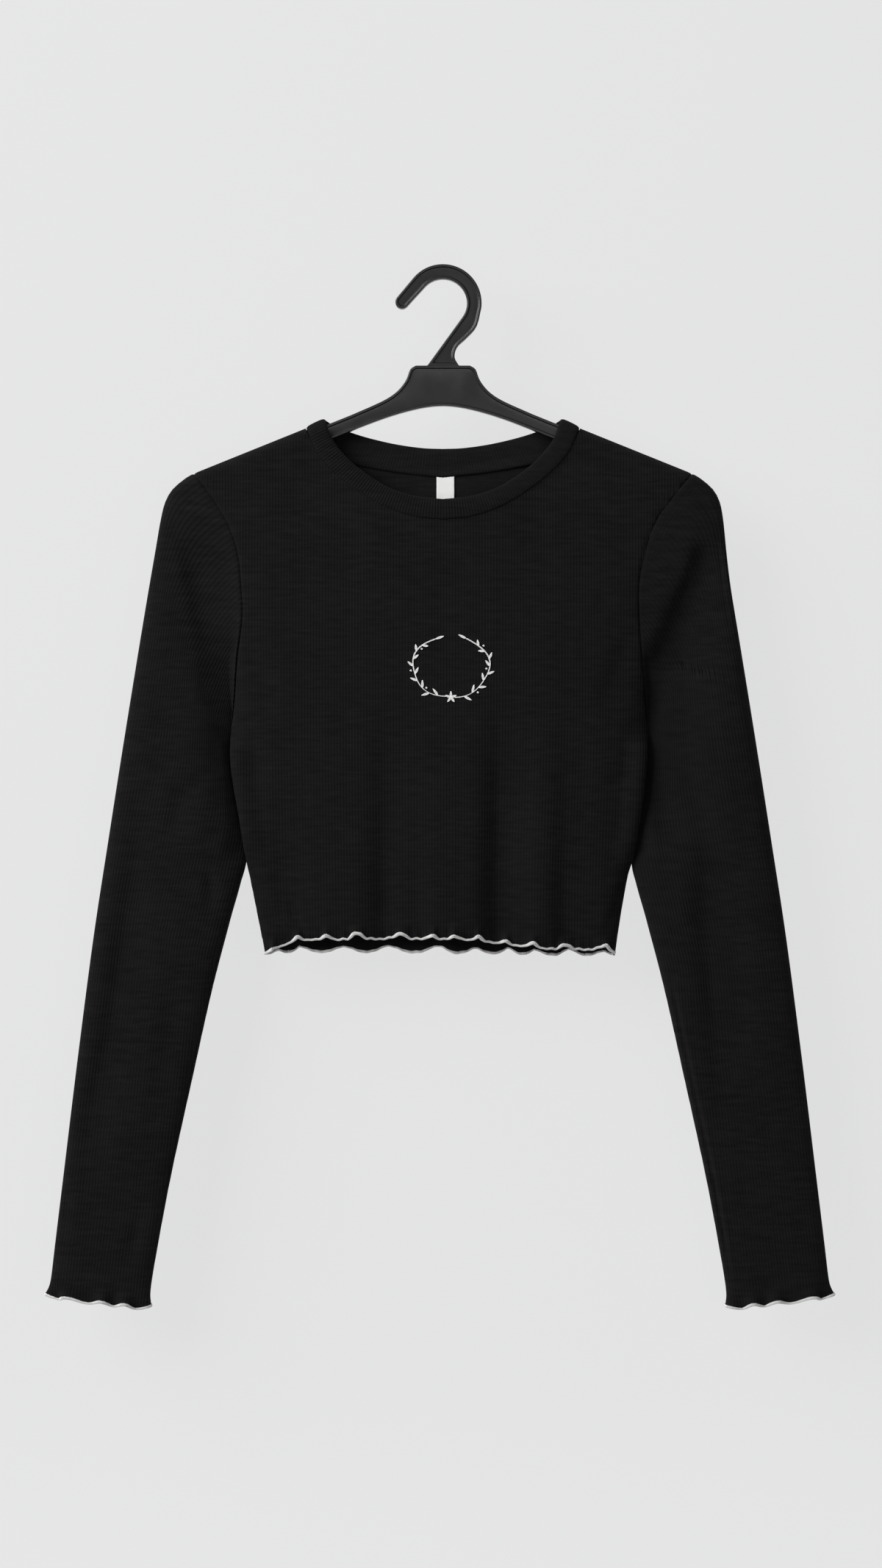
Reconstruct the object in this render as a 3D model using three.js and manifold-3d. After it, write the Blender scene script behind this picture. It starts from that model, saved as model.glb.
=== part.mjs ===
// A long-sleeved rib-knit crop top, hung flat on a moulded plastic hanger.
// Sizes are millimetres. X runs to the viewer's right, Y to the back and Z up.
// The origin is the inner top of the hook, where it rests on a rail.

import * as THREE from 'three';
import { mergeVertices } from 'three/addons/utils/BufferGeometryUtils.js';
import Module from 'manifold-3d';

const DEGREE = Math.PI / 180;

// Driving sizes of the cloth.
const CLOTH = { wall: 1.2, bandWall: 1.6, seamGap: 0.4, bandGap: 0.6 };
const SHOULDER = {
  tipX: 186.2, tipZ: -145.3, neckX: 102.7, neckZ: -111.6, foldRadius: 8, lean: 0.043,
};
const UNDERARM_Z = -338;
const HEM = { band: 13, waveDepth: 3, sideFade: 0.05, midShare: 0.5, midWave: 0.3 };
const CUFF = { waves: 8, waveDepth: 2.6, lift: 1.6, midShare: 0.5, midWave: 0.35, sideways: 0.12 };
const NECK_EDGE = { halfWidth: 88.3, topZ: -104.6, bulge: 0.4 };
const SLEEVE = { clearance: 0.9, besideBodyZ: -440, seamTilt: 0.35 };
const LABEL = { left: -4.7, right: 8.5, top: -146.5, bottom: -166, thickness: 1, gap: 0.5 };

// Driving sizes of the hanger.
const HANGER = { thickness: 7.2, web: 3, rim: 1.7 };
const HOOK = { centreZ: -18, innerRadius: 18, outerRadius: 29, mouthAngle: 138, stemAngle: -36 };
const HOOK_TIP = { x: -30.5, z: -17.2, radius: 5.1 };
const PLATE = { topZ: -64.8, topHalf: 20.2, archZ: -94.8 };
const ARM = { slope: 22, startX: 67.4, startZ: -101.3, endX: 188, height: 11 };

// The body's half width at each height: armhole seams, then side seams.
const SIDE_LINE = [
  { z: -145.3, left: 186.2, right: 186.2 },
  { z: -163, left: 173, right: 171.5 },
  { z: -176, left: 164.6, right: 162 },
  { z: -190, left: 157.5, right: 155 },
  { z: -208, left: 152.6, right: 149.3 },
  { z: -226, left: 150.8, right: 146.2 },
  { z: -252, left: 149.6, right: 146 },
  { z: -284, left: 153.5, right: 148.4 },
  { z: -320, left: 156.2, right: 151.2 },
  { z: -341, left: 159, right: 153.2 },
  { z: -368, left: 158.2, right: 152.2 },
  { z: -402, left: 152.6, right: 148 },
  { z: -432, left: 147.7, right: 142.5 },
  { z: -451, left: 143.8, right: 137.4 },
  { z: -484, left: 137.2, right: 131.7 },
  { z: -505, left: 133.4, right: 128.8 },
];

// How far the cloth stands to the front and back, and at its armhole edges.
const DEPTH_LINE = [
  { z: -111.6, front: 8, back: 8, edge: 8 },
  { z: -145, front: 8.8, back: 8.6, edge: 8 },
  { z: -175, front: 10.4, back: 9.4, edge: 9 },
  { z: -205, front: 12.2, back: 10.4, edge: 10 },
  { z: -245, front: 14.2, back: 11.6, edge: 10.5 },
  { z: -275, front: 15.2, back: 12.4, edge: 9.5 },
  { z: -305, front: 15.8, back: 12.8, edge: 6.5 },
  { z: -325, front: 16, back: 13, edge: 3 },
  { z: -338, front: 16, back: 13, edge: 0 },
  { z: -430, front: 15.4, back: 12.6, edge: 0 },
  { z: -505, front: 14.2, back: 12, edge: 0 },
];

// Seams where the neckband joins the body, and the band's free edges.
const NECK_SEAM = {
  front: [
    { x: 0, z: -180.9 }, { x: 21.5, z: -178.6 }, { x: 44, z: -171 }, { x: 63.5, z: -159.5 },
    { x: 80.8, z: -146 }, { x: 95.2, z: -129.5 }, { x: 102.7, z: -111.6 },
  ],
  back: [
    { x: 0, z: -145 }, { x: 30.5, z: -141.8 }, { x: 54.7, z: -137.7 }, { x: 73, z: -133.5 },
    { x: 90, z: -126 }, { x: 98, z: -119.4 }, { x: 102.7, z: -111.6 },
  ],
};
const NECK_TOP = {
  front: [
    { x: 0, z: -165 }, { x: 21.3, z: -162.6 }, { x: 41, z: -156 }, { x: 58, z: -145.5 },
    { x: 72, z: -133.5 }, { x: 83, z: -119 }, { x: 88.3, z: -104.6 },
  ],
  back: [
    { x: 0, z: -126 }, { x: 15, z: -125.4 }, { x: 35.5, z: -122.5 }, { x: 55.5, z: -117.9 },
    { x: 70, z: -113.4 }, { x: 81, z: -109 }, { x: 88.3, z: -104.6 },
  ],
};

// The hem's mean line, and where each ruffle wave of its edge swings outwards.
const HEM_LINE = {
  front: [
    { x: -134, z: -505 }, { x: -110, z: -495.5 }, { x: -88, z: -494 }, { x: 0, z: -493.4 },
    { x: 20, z: -494 }, { x: 45, z: -498 }, { x: 85, z: -502.4 }, { x: 115, z: -503 },
    { x: 130, z: -505 },
  ],
  back: [{ x: -134, z: -505 }, { x: -110, z: -503.4 }, { x: 100, z: -504.6 }, { x: 130, z: -505 }],
};
const HEM_WAVES = {
  front: [
    { x: -127, lift: 1 }, { x: -109, lift: 3.2 }, { x: -87, lift: 3 }, { x: -65, lift: 5 },
    { x: -31, lift: 4 }, { x: -7.4, lift: 2.6 }, { x: 8.5, lift: 2.4 }, { x: 26.7, lift: 3.4 },
    { x: 46.5, lift: 2.4 }, { x: 66.3, lift: 3.6 }, { x: 90.8, lift: 3.6 }, { x: 121.3, lift: 4.4 },
  ],
  back: [
    { x: -122, lift: 3 }, { x: -108, lift: 3.5 }, { x: -75.6, lift: 3.6 }, { x: -42.6, lift: 3 },
    { x: -2.5, lift: 3.6 }, { x: 21.7, lift: 3.2 }, { x: 50.3, lift: 3.6 }, { x: 67.4, lift: 3 },
    { x: 94.9, lift: 3.8 }, { x: 121, lift: 3 },
  ],
};

// Soft folds that fall to the front hem: hollows at these places.
const BODY_FOLDS = [
  { x: -122, width: 13, depth: 2.4 },
  { x: -48, width: 15, depth: 3.4 },
  { x: 34, width: 12, depth: 4 },
  { x: 87, width: 15, depth: 3 },
];
const FOLD_TOP = { from: -325, to: -430 };

// The largest crease of each sleeve, from the cap towards the underarm.
const SLEEVE_CREASE = {
  left: { from: { x: 200, z: -183 }, to: { x: 186, z: -310 }, width: 9, depth: 2.6 },
  right: { from: { x: 190, z: -176 }, to: { x: 157, z: -300 }, width: 10, depth: 4.4 },
};

// Sections of a sleeve: its outer and inner edge, its depth each way, and how
// much of the armhole's own curve is left in the section.
const SLEEVE_SECTIONS = [
  { outX: 193.4, outZ: -149.6, inX: 160.3, inZ: -341, depth: 8.8, armhole: 0.85 },
  { outX: 202.2, outZ: -157.2, inX: 160.9, inZ: -345.5, depth: 9, armhole: 0.6 },
  { outX: 207.6, outZ: -166.6, inX: 161, inZ: -351, depth: 9.3, armhole: 0.36 },
  { outX: 211, outZ: -180, inX: 160.8, inZ: -358.5, depth: 9.6, armhole: 0.16 },
  { outX: 214.8, outZ: -202, inX: 160, inZ: -370, depth: 10.4, armhole: 0 },
  { outX: 221, outZ: -238, inX: 157.2, inZ: -388, depth: 11, armhole: 0 },
  { outX: 229.6, outZ: -290, inX: 152.2, inZ: -414, depth: 11.4, armhole: 0 },
  { outX: 239.6, outZ: -352, inX: 149.6, inZ: -442, depth: 11.4, armhole: 0 },
  { outX: 250.2, outZ: -420, inX: 159.6, inZ: -481, depth: 11.2, armhole: 0 },
  { outX: 261.2, outZ: -492, inX: 172.4, inZ: -530, depth: 10.8, armhole: 0 },
  { outX: 272.6, outZ: -579, inX: 187.4, inZ: -597, depth: 10, armhole: 0 },
  { outX: 283, outZ: -664, inX: 204.4, inZ: -675, depth: 9, armhole: 0 },
  { outX: 291.8, outZ: -737, inX: 217.4, inZ: -746, depth: 8, armhole: 0 },
];
const CUFF_EDGE = { outX: 296.4, outZ: -762.4, inX: 220.2, inZ: -771.4, depth: 8.4, armhole: 0 };

// Each side's sign along X, and how much nearer its sleeve hangs than the left one's.
const SIDES = {
  left: { sign: -1, outer: 0, inner: 0 },
  right: { sign: 1, outer: -4.6, inner: -6.8 },
};
const SHIFT_GROWS = { from: -146, to: -240 };
const FACES = { front: -1, back: 1 };

// How far the neckband's free edge leans out for each millimetre it lies below its highest point.
const NECK_LEAN = { front: 2 / 60, back: 1 / 21 };

// How boxy the sections are: a side falls away by one power, and the whole by another.
const BODY_SQUARENESS = 5;
const SLEEVE_SQUARENESS = { side: 6, rise: 0.4 };

// Where round the armhole the sleeve's seam turns from the cloth's own plane to sideways.
const SEAM_TURN = { from: 0.6, to: 0.95, wallFrom: 0.62 };

// Share of the way from the shoulder to the underarm, and on to the hem, of each row.
const ARMHOLE_ROWS = [0, 0.01, 0.035, 0.08, 0.17, 0.31, 0.48, 0.65, 0.8, 0.91, 0.975, 1];
const BODY_ROWS = [0.1, 0.27, 0.46, 0.65, 0.83, 1];
const NECK_COLUMNS = 8;
const NECK_CROWDING = 2.2;
const TIP_STEADINESS = 4;
const SHOULDER_COLUMNS = 4;
const EDGE_COLUMNS = [0.935, 0.964, 0.986, 1];
const EDGE_START = 0.9;
const FINE = 3;

const lerp = THREE.MathUtils.lerp;
const clamp = THREE.MathUtils.clamp;
const smoothstep = THREE.MathUtils.smoothstep;

/** The value of a table's column at a place along its key column, eased between rows. */
function sample(table, key, column, at) {
  const direction = Math.sign(table[table.length - 1][key] - table[0][key]);
  const last = table.length - 1;
  if ((at - table[0][key]) * direction <= 0) return table[0][column];
  if ((at - table[last][key]) * direction >= 0) return table[last][column];
  let i = 0;
  while ((at - table[i + 1][key]) * direction > 0) i += 1;
  const slope = (a, b) => (table[b][column] - table[a][column]) / (table[b][key] - table[a][key]);
  const width = table[i + 1][key] - table[i][key];
  const startSlope = i === 0 ? slope(0, 1) : slope(i - 1, i + 1);
  const endSlope = i + 2 > last ? slope(i, i + 1) : slope(i, i + 2);
  const t = (at - table[i][key]) / width;
  const start = table[i][column];
  const end = table[i + 1][column];
  return start * (1 + 2 * t) * (1 - t) ** 2 + end * t * t * (3 - 2 * t)
    + startSlope * width * t * (1 - t) ** 2 - endSlope * width * t * t * (1 - t);
}

/** Rounding of cloth over a ridge: 0 at the ridge, 1 one radius below it. */
function overRidge(drop) {
  const share = clamp(drop / SHOULDER.foldRadius, 0, 1);
  return Math.sqrt(1 - (1 - share) ** 2);
}

function halfWidth(z, side) {
  return sample(SIDE_LINE, 'z', side, z);
}

/** Height of the body's top edge: the shoulder seam, or the neck seam between. */
function topHeight(face, x) {
  const distance = Math.abs(x);
  const slope = (SHOULDER.tipZ - SHOULDER.neckZ) / (SHOULDER.tipX - SHOULDER.neckX);
  if (distance >= SHOULDER.neckX) return SHOULDER.neckZ + (distance - SHOULDER.neckX) * slope;
  return sample(NECK_SEAM[face], 'x', 'z', distance);
}

/** How far the top edge stands out from the middle: nothing along a shoulder seam. */
function topDepth(face, x) {
  if (Math.abs(x) >= SHOULDER.neckX) return 0;
  const drop = SHOULDER.neckZ - topHeight(face, x);
  return SHOULDER.foldRadius * overRidge(drop) + SHOULDER.lean * drop;
}

/** Depth of the hollows that the soft folds press into the front. */
function foldHollow(face, x, z) {
  if (face === 'back') return 0;
  const grown = 1 - smoothstep(z, FOLD_TOP.to, FOLD_TOP.from);
  const hollow = (fold) => fold.depth * Math.exp(-(((x - fold.x) / fold.width) ** 2));
  return grown * BODY_FOLDS.reduce((sum, fold) => sum + hollow(fold), 0);
}

/** Distance of a panel's outer face from the middle plane, below its top edge. */
function panelDepth(face, x, z) {
  const side = x < 0 ? 'left' : 'right';
  const across = clamp(Math.abs(x) / halfWidth(z, side), 0, 1);
  const edge = Math.max(sample(DEPTH_LINE, 'z', 'edge', z), 0);
  const middle = sample(DEPTH_LINE, 'z', face, z) - foldHollow(face, x, z);
  return edge + (middle - edge) * Math.sqrt(1 - across ** BODY_SQUARENESS);
}

/** Swing of a ruffled edge: 1 where a wave stands out, -1 between two waves. */
function ruffle(waves, x) {
  let i = 0;
  while (i < waves.length - 2 && x > waves[i + 1].x) i += 1;
  const t = (x - waves[i].x) / (waves[i + 1].x - waves[i].x);
  const lift = lerp(waves[i].lift, waves[i + 1].lift, clamp(t, 0, 1));
  return { swing: Math.cos(2 * Math.PI * t), lift };
}

/** Shares of the half width of a panel's columns, from left to right. */
function columnShares() {
  const neck = SHOULDER.neckX / SHOULDER.tipX;
  const top = [0];
  const low = [0];
  const inner = NECK_COLUMNS + SHOULDER_COLUMNS;
  for (let i = 1; i <= inner; i += 1) {
    const onNeck = neck * (1 - Math.max(1 - i / NECK_COLUMNS, 0) ** NECK_CROWDING);
    const onShoulder = lerp(neck, EDGE_START, (i - NECK_COLUMNS) / SHOULDER_COLUMNS);
    top.push(i <= NECK_COLUMNS ? onNeck : onShoulder);
    low.push(EDGE_START * (i / inner));
  }
  const right = [...top, ...EDGE_COLUMNS].map((share, i) => (
    { top: share, low: i < low.length ? low[i] : share }));
  const left = right.slice(1).reverse().map(({ top: a, low: b }) => ({ top: -a, low: -b }));
  return [...left, ...right];
}

/** The columns again with two more between each pair, for the ruffled band. */
function fineColumns(columns) {
  const fine = [columns[0]];
  for (let i = 1; i < columns.length; i += 1) {
    for (let part = 1; part <= FINE; part += 1) {
      const t = part / FINE;
      fine.push({
        top: lerp(columns[i - 1].top, columns[i].top, t),
        low: lerp(columns[i - 1].low, columns[i].low, t),
      });
    }
  }
  return fine;
}

/** A point of a panel's outer face between the top edge and the underarm. */
function upperPoint(face, column, share) {
  const topX = column.top * SHOULDER.tipX;
  const z = lerp(topHeight(face, topX), UNDERARM_Z, share);
  const side = column.top < 0 ? 'left' : 'right';
  const settled = smoothstep(share, 0, 1);
  const lowX = lerp(column.top, column.low, settled) * halfWidth(z, side);
  const x = lerp(topX, lowX, lerp(settled, 1, column.top ** TIP_STEADINESS));
  const drop = topHeight(face, topX) - z;
  const depth = lerp(topDepth(face, topX), panelDepth(face, x, z), overRidge(drop));
  return new THREE.Vector3(x, FACES[face] * (depth + CLOTH.seamGap / 2), z);
}

/** A point of a panel's outer face at a share of the way down to its hem. */
function lowerPoint(face, column, share, wave) {
  const side = column.low < 0 ? 'left' : 'right';
  const hemX = column.low * halfWidth(sample(HEM_LINE[face], 'x', 'z', 0), side);
  const hemZ = sample(HEM_LINE[face], 'x', 'z', hemX);
  const bandTop = hemZ + HEM.band;
  const base = share <= 1 ? lerp(UNDERARM_Z, bandTop, share) : lerp(bandTop, hemZ, share - 1);
  const x = column.low * halfWidth(base, side);
  const { swing, lift } = ruffle(HEM_WAVES[face], x);
  const fade = wave * clamp((1 - Math.abs(column.low)) / HEM.sideFade, 0, 1);
  const depth = panelDepth(face, x, base) + fade * HEM.waveDepth * swing;
  const z = base + fade * lift * (swing + 1) / 2;
  return new THREE.Vector3(x, FACES[face] * (depth + CLOTH.seamGap / 2), z);
}

/** Rows of vertex numbers joined by triangles; the second row may be finer. */
function stitch(index, upper, lower, closed) {
  const spans = closed ? upper.length : upper.length - 1;
  const finer = (lower.length > upper.length) ? FINE : 1;
  const at = (row, i) => row[i % row.length];
  for (let i = 0; i < spans; i += 1) {
    const a = at(upper, i);
    const b = at(upper, i + 1);
    const low = (part) => at(lower, i * finer + part);
    index.push(a, low(0), low(1));
    index.push(a, low(1), b);
    for (let part = 1; part < finer; part += 1) index.push(b, low(part), low(part + 1));
  }
}

/** Unit vectors that point out of the cloth at each point of an outer face. */
function outwardNormals(rows, closed) {
  const numbers = numberRows(rows, 0);
  const index = [];
  for (let i = 1; i < rows.length; i += 1) stitch(index, numbers[i - 1], numbers[i], closed);
  const points = rows.flat();
  const geometry = new THREE.BufferGeometry().setFromPoints(points);
  geometry.setIndex(index);
  geometry.computeVertexNormals();
  const normals = points.map((_, i) => (
    new THREE.Vector3().fromBufferAttribute(geometry.attributes.normal, i)));
  const centre = new THREE.Vector3();
  let sense = 0;
  rows.forEach((row, r) => {
    centre.set(0, 0, 0);
    row.forEach((point) => centre.addScaledVector(point, 1 / row.length));
    if (!closed) centre.y = 0;
    row.forEach((point, i) => {
      sense += point.clone().sub(centre).dot(normals[numbers[r][i]]);
    });
  });
  if (sense < 0) normals.forEach((normal) => normal.negate());
  return numbers.map((row) => row.map((number) => normals[number]));
}

function numberRows(rows, start) {
  let next = start;
  return rows.map((row) => row.map(() => next++));
}

/** One closed wall between an outer and an inner face, given as rows of points. */
function wallGeometry(outer, inner, closed) {
  const points = [...outer.flat(), ...inner.flat()];
  const out = numberRows(outer, 0);
  const into = numberRows(inner, outer.flat().length);
  const index = [];
  const last = outer.length - 1;
  for (let i = 1; i <= last; i += 1) {
    stitch(index, out[i - 1], out[i], closed);
    const reversed = [];
    stitch(reversed, into[i - 1], into[i], closed);
    for (let k = 0; k < reversed.length; k += 3) {
      index.push(reversed[k], reversed[k + 2], reversed[k + 1]);
    }
    if (closed) continue;
    const end = (row) => row[row.length - 1];
    stitch(index, [into[i - 1][0], out[i - 1][0]], [into[i][0], out[i][0]], false);
    stitch(index, [end(out[i - 1]), end(into[i - 1])], [end(out[i]), end(into[i])], false);
  }
  stitch(index, into[0], out[0], closed);
  stitch(index, out[last], into[last], closed);
  const geometry = new THREE.BufferGeometry().setFromPoints(points);
  geometry.setIndex(index);
  if (volume(geometry) < 0) geometry.index.array.reverse();
  geometry.computeVertexNormals();
  return geometry;
}

function volume(geometry) {
  const { position } = geometry.attributes;
  const corner = [new THREE.Vector3(), new THREE.Vector3(), new THREE.Vector3()];
  let sum = 0;
  for (let i = 0; i < geometry.index.count; i += 3) {
    corner.forEach((point, k) => point.fromBufferAttribute(position, geometry.index.getX(i + k)));
    sum += corner[0].dot(corner[1].clone().cross(corner[2])) / 6;
  }
  return sum;
}

function moveInwards(rows, normals, distance) {
  return rows.map((row, r) => row.map((point, i) => (
    point.clone().addScaledVector(normals[r][i], -distance))));
}

/** The front or back: an outer face, its outward directions and the wall itself. */
function makePanel(face) {
  const columns = columnShares();
  const fine = fineColumns(columns);
  const rows = ARMHOLE_ROWS.map((share) => columns.map((c) => upperPoint(face, c, share)));
  BODY_ROWS.forEach((share) => {
    rows.push(columns.map((column) => lowerPoint(face, column, share, 0)));
  });
  rows.push(fine.map((column) => lowerPoint(face, column, 1 + HEM.midShare, HEM.midWave)));
  rows.push(fine.map((column) => lowerPoint(face, column, 2, 1)));
  const normals = outwardNormals(rows, false);
  const underarm = ARMHOLE_ROWS.length - 1;
  rows.forEach((row, r) => {
    row.forEach((point, i) => {
      const onEdge = i === 0 || i === row.length - 1;
      const onSide = onEdge && r >= underarm;
      const onShoulder = r === 0 && Math.abs(point.x) >= SHOULDER.neckX - 0.01;
      if (onSide || onShoulder) normals[r][i].setY(0).normalize();
    });
  });
  const geometry = wallGeometry(rows, moveInwards(rows, normals, CLOTH.wall), false);
  return { rows, normals, geometry };
}

/** A loop of matching entries: the front's from left to right, then the back's. */
function neckLoop(front, back, columns) {
  const onNeck = (column) => Math.abs(column.top) <= SHOULDER.neckX / SHOULDER.tipX + 1e-6;
  const places = columns.map((column, i) => i).filter((i) => onNeck(columns[i]));
  const inside = places.slice(1, -1).reverse();
  return [
    ...places.map((i) => ({ face: 'front', column: columns[i], point: front.rows[0][i],
      normal: front.normals[0][i], atShoulder: i === places[0] || i === places.at(-1) })),
    ...inside.map((i) => ({ face: 'back', column: columns[i], point: back.rows[0][i],
      normal: back.normals[0][i], atShoulder: false })),
  ];
}

/** The free edge of the neckband beside a point of its seam. */
function neckEdgePoint({ face, column }) {
  const share = column.top * (SHOULDER.tipX / SHOULDER.neckX);
  const x = share * NECK_EDGE.halfWidth;
  const z = sample(NECK_TOP[face], 'x', 'z', Math.abs(x));
  const drop = NECK_EDGE.topZ - z;
  const standing = SHOULDER.foldRadius * overRidge(drop) + NECK_LEAN[face] * drop;
  const depth = Math.abs(share) > 0.999 ? 0 : standing;
  return new THREE.Vector3(x, FACES[face] * depth, z);
}

function makeNeckband(front, back) {
  const loop = neckLoop(front, back, columnShares());
  const seam = loop.map((entry) => {
    const point = entry.point.clone();
    if (entry.atShoulder) point.y = 0;
    return point;
  });
  const edge = loop.map(neckEdgePoint);
  seam.forEach((point, i) => {
    const away = edge[i].clone().sub(point).projectOnPlane(loop[i].normal).normalize();
    point.addScaledVector(away, CLOTH.bandGap);
  });
  const middle = seam.map((point, i) => point.clone().lerp(edge[i], 0.5));
  const rows = [seam, middle, edge];
  const normals = outwardNormals(rows, true);
  normals[0] = loop.map((entry) => entry.normal.clone());
  middle.forEach((point, i) => point.addScaledVector(normals[1][i], NECK_EDGE.bulge));
  return wallGeometry(rows, moveInwards(rows, normals, CLOTH.bandWall), true);
}

/** Depth of a sleeve's section at a share of the way across it. */
function sectionProfile(share) {
  return (1 - Math.abs(2 * share - 1) ** SLEEVE_SQUARENESS.side) ** SLEEVE_SQUARENESS.rise;
}

/** How far a point lies into the sleeve's largest crease. */
function creaseHollow(crease, x, z) {
  const { from, to } = crease;
  const run = { x: to.x - from.x, z: to.z - from.z };
  const along = ((x - from.x) * run.x + (z - from.z) * run.z) / (run.x ** 2 + run.z ** 2);
  const t = clamp(along, 0, 1);
  const distance = Math.hypot(x - from.x - t * run.x, z - from.z - t * run.z);
  return crease.depth * Math.exp(-((distance / crease.width) ** 2));
}

/** Entries round an armhole: down the front edge and up the back edge. */
function armholeLoop(front, back, side) {
  const pick = (row) => (side === 'left' ? row[0] : row[row.length - 1]);
  const last = ARMHOLE_ROWS.length - 1;
  const entries = [];
  for (let step = 0; step < 2 * last; step += 1) {
    const onFront = step <= last;
    const r = onFront ? step : 2 * last - step;
    const panel = onFront ? front : back;
    const point = pick(panel.rows[r]).clone();
    if (r === 0 || r === last) point.y = 0;
    entries.push({
      face: onFront ? 'front' : 'back',
      share: ARMHOLE_ROWS[r],
      point,
      normal: pick(panel.normals[r]).clone(),
    });
  }
  return entries;
}

/** One ring of a sleeve's outer face, as many points as the armhole has. */
function sleeveRing(loop, section, side) {
  const { sign, outer, inner } = SIDES[side];
  const grown = 1 - smoothstep(section.outZ, SHIFT_GROWS.to, SHIFT_GROWS.from);
  const outX = section.outX + outer * grown;
  const nearest = halfWidth(section.inZ, side) + SLEEVE.clearance;
  const inX = section.inZ > SLEEVE.besideBodyZ ? nearest : section.inX + inner;
  const top = loop[0].point;
  const under = loop[ARMHOLE_ROWS.length - 1].point;
  return loop.map(({ face, share, point }) => {
    const chordX = lerp(top.x, under.x, share);
    const chordZ = lerp(top.z, under.z, share);
    const x = sign * lerp(outX, inX, share) + section.armhole * (point.x - chordX);
    const z = lerp(section.outZ, section.inZ, share) + section.armhole * (point.z - chordZ);
    const depth = section.depth * sectionProfile(share);
    const hollow = face === 'front' ? creaseHollow(SLEEVE_CREASE[side], Math.abs(x), z) : 0;
    const settled = Math.max(depth - hollow * Math.min(1, 4 * share * (1 - share)), 0);
    const y = lerp(FACES[face] * settled, point.y, section.armhole);
    return new THREE.Vector3(x, y, z);
  });
}

/** A ruffled ring of the cuff, with three points to each point of the armhole. */
function cuffRing(loop, section, side, wave) {
  const coarse = sleeveRing(loop, section, side);
  const centre = new THREE.Vector3();
  coarse.forEach((point) => centre.addScaledVector(point, 1 / coarse.length));
  const ring = [];
  const lengths = coarse.map((point, i) => point.distanceTo(coarse[(i + 1) % coarse.length]));
  const girth = lengths.reduce((sum, length) => sum + length, 0);
  let travelled = 0;
  coarse.forEach((point, i) => {
    for (let part = 0; part < FINE; part += 1) {
      const place = point.clone().lerp(coarse[(i + 1) % coarse.length], part / FINE);
      const turn = (travelled + lengths[i] * (part / FINE)) / girth;
      const swing = Math.cos(2 * Math.PI * CUFF.waves * turn) * wave;
      const outwards = place.clone().sub(centre).setZ(0);
      outwards.x *= CUFF.sideways;
      place.addScaledVector(outwards.normalize(), CUFF.waveDepth * swing);
      place.z += CUFF.lift * (swing + wave) / 2;
      ring.push(place);
    }
    travelled += lengths[i];
  });
  return ring;
}

/** A point of the sleeve's seam, one seam gap away from the armhole's edge. */
function seamPoint(loop, i, sign) {
  const { point, normal, share } = loop[i];
  const next = loop[(i + 1) % loop.length].point;
  const previous = loop[(i + loop.length - 1) % loop.length].point;
  const sideways = new THREE.Vector3(sign, 0, 0);
  const away = next.clone().sub(previous).cross(normal).normalize();
  if (away.dot(sideways) < 0) away.negate();
  away.lerp(sideways, smoothstep(share, SEAM_TURN.from, SEAM_TURN.to)).normalize();
  return point.clone().addScaledVector(away, CLOTH.seamGap);
}

function makeSleeve(front, back, side) {
  const { sign } = SIDES[side];
  const loop = armholeLoop(front, back, side);
  const seam = loop.map((_, i) => seamPoint(loop, i, sign));
  const rings = [seam, ...SLEEVE_SECTIONS.map((section) => sleeveRing(loop, section, side))];
  const bandTop = SLEEVE_SECTIONS.at(-1);
  const between = Object.fromEntries(Object.keys(CUFF_EDGE).map((name) => (
    [name, lerp(bandTop[name], CUFF_EDGE[name], CUFF.midShare)])));
  rings.push(cuffRing(loop, between, side, CUFF.midWave));
  rings.push(cuffRing(loop, CUFF_EDGE, side, 1));
  const normals = outwardNormals(rings, true);
  const outwards = new THREE.Vector3(-sign, 0, -SLEEVE.seamTilt).normalize();
  normals[0] = loop.map(({ normal, share }) => (
    normal.lerp(outwards, smoothstep(share, SEAM_TURN.wallFrom, 1)).normalize()));
  return wallGeometry(rings, moveInwards(rings, normals, CLOTH.wall), true);
}

/** A plain tab sewn inside the back neck seam, lying on the back's inner face. */
function makeLabel() {
  const steps = { across: 2, down: 3 };
  const outer = [];
  const inner = [];
  for (let r = 0; r <= steps.down; r += 1) {
    const z = lerp(LABEL.top, LABEL.bottom, r / steps.down);
    const row = [];
    for (let i = 0; i <= steps.across; i += 1) {
      const x = lerp(LABEL.left, LABEL.right, i / steps.across);
      const depth = panelDepth('back', x, z) + CLOTH.seamGap / 2 - CLOTH.wall - LABEL.gap;
      row.push(new THREE.Vector3(x, depth, z));
    }
    outer.push(row);
    inner.push(row.map((point) => point.clone().setY(point.y - LABEL.thickness)));
  }
  return wallGeometry(outer, inner, false);
}

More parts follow.
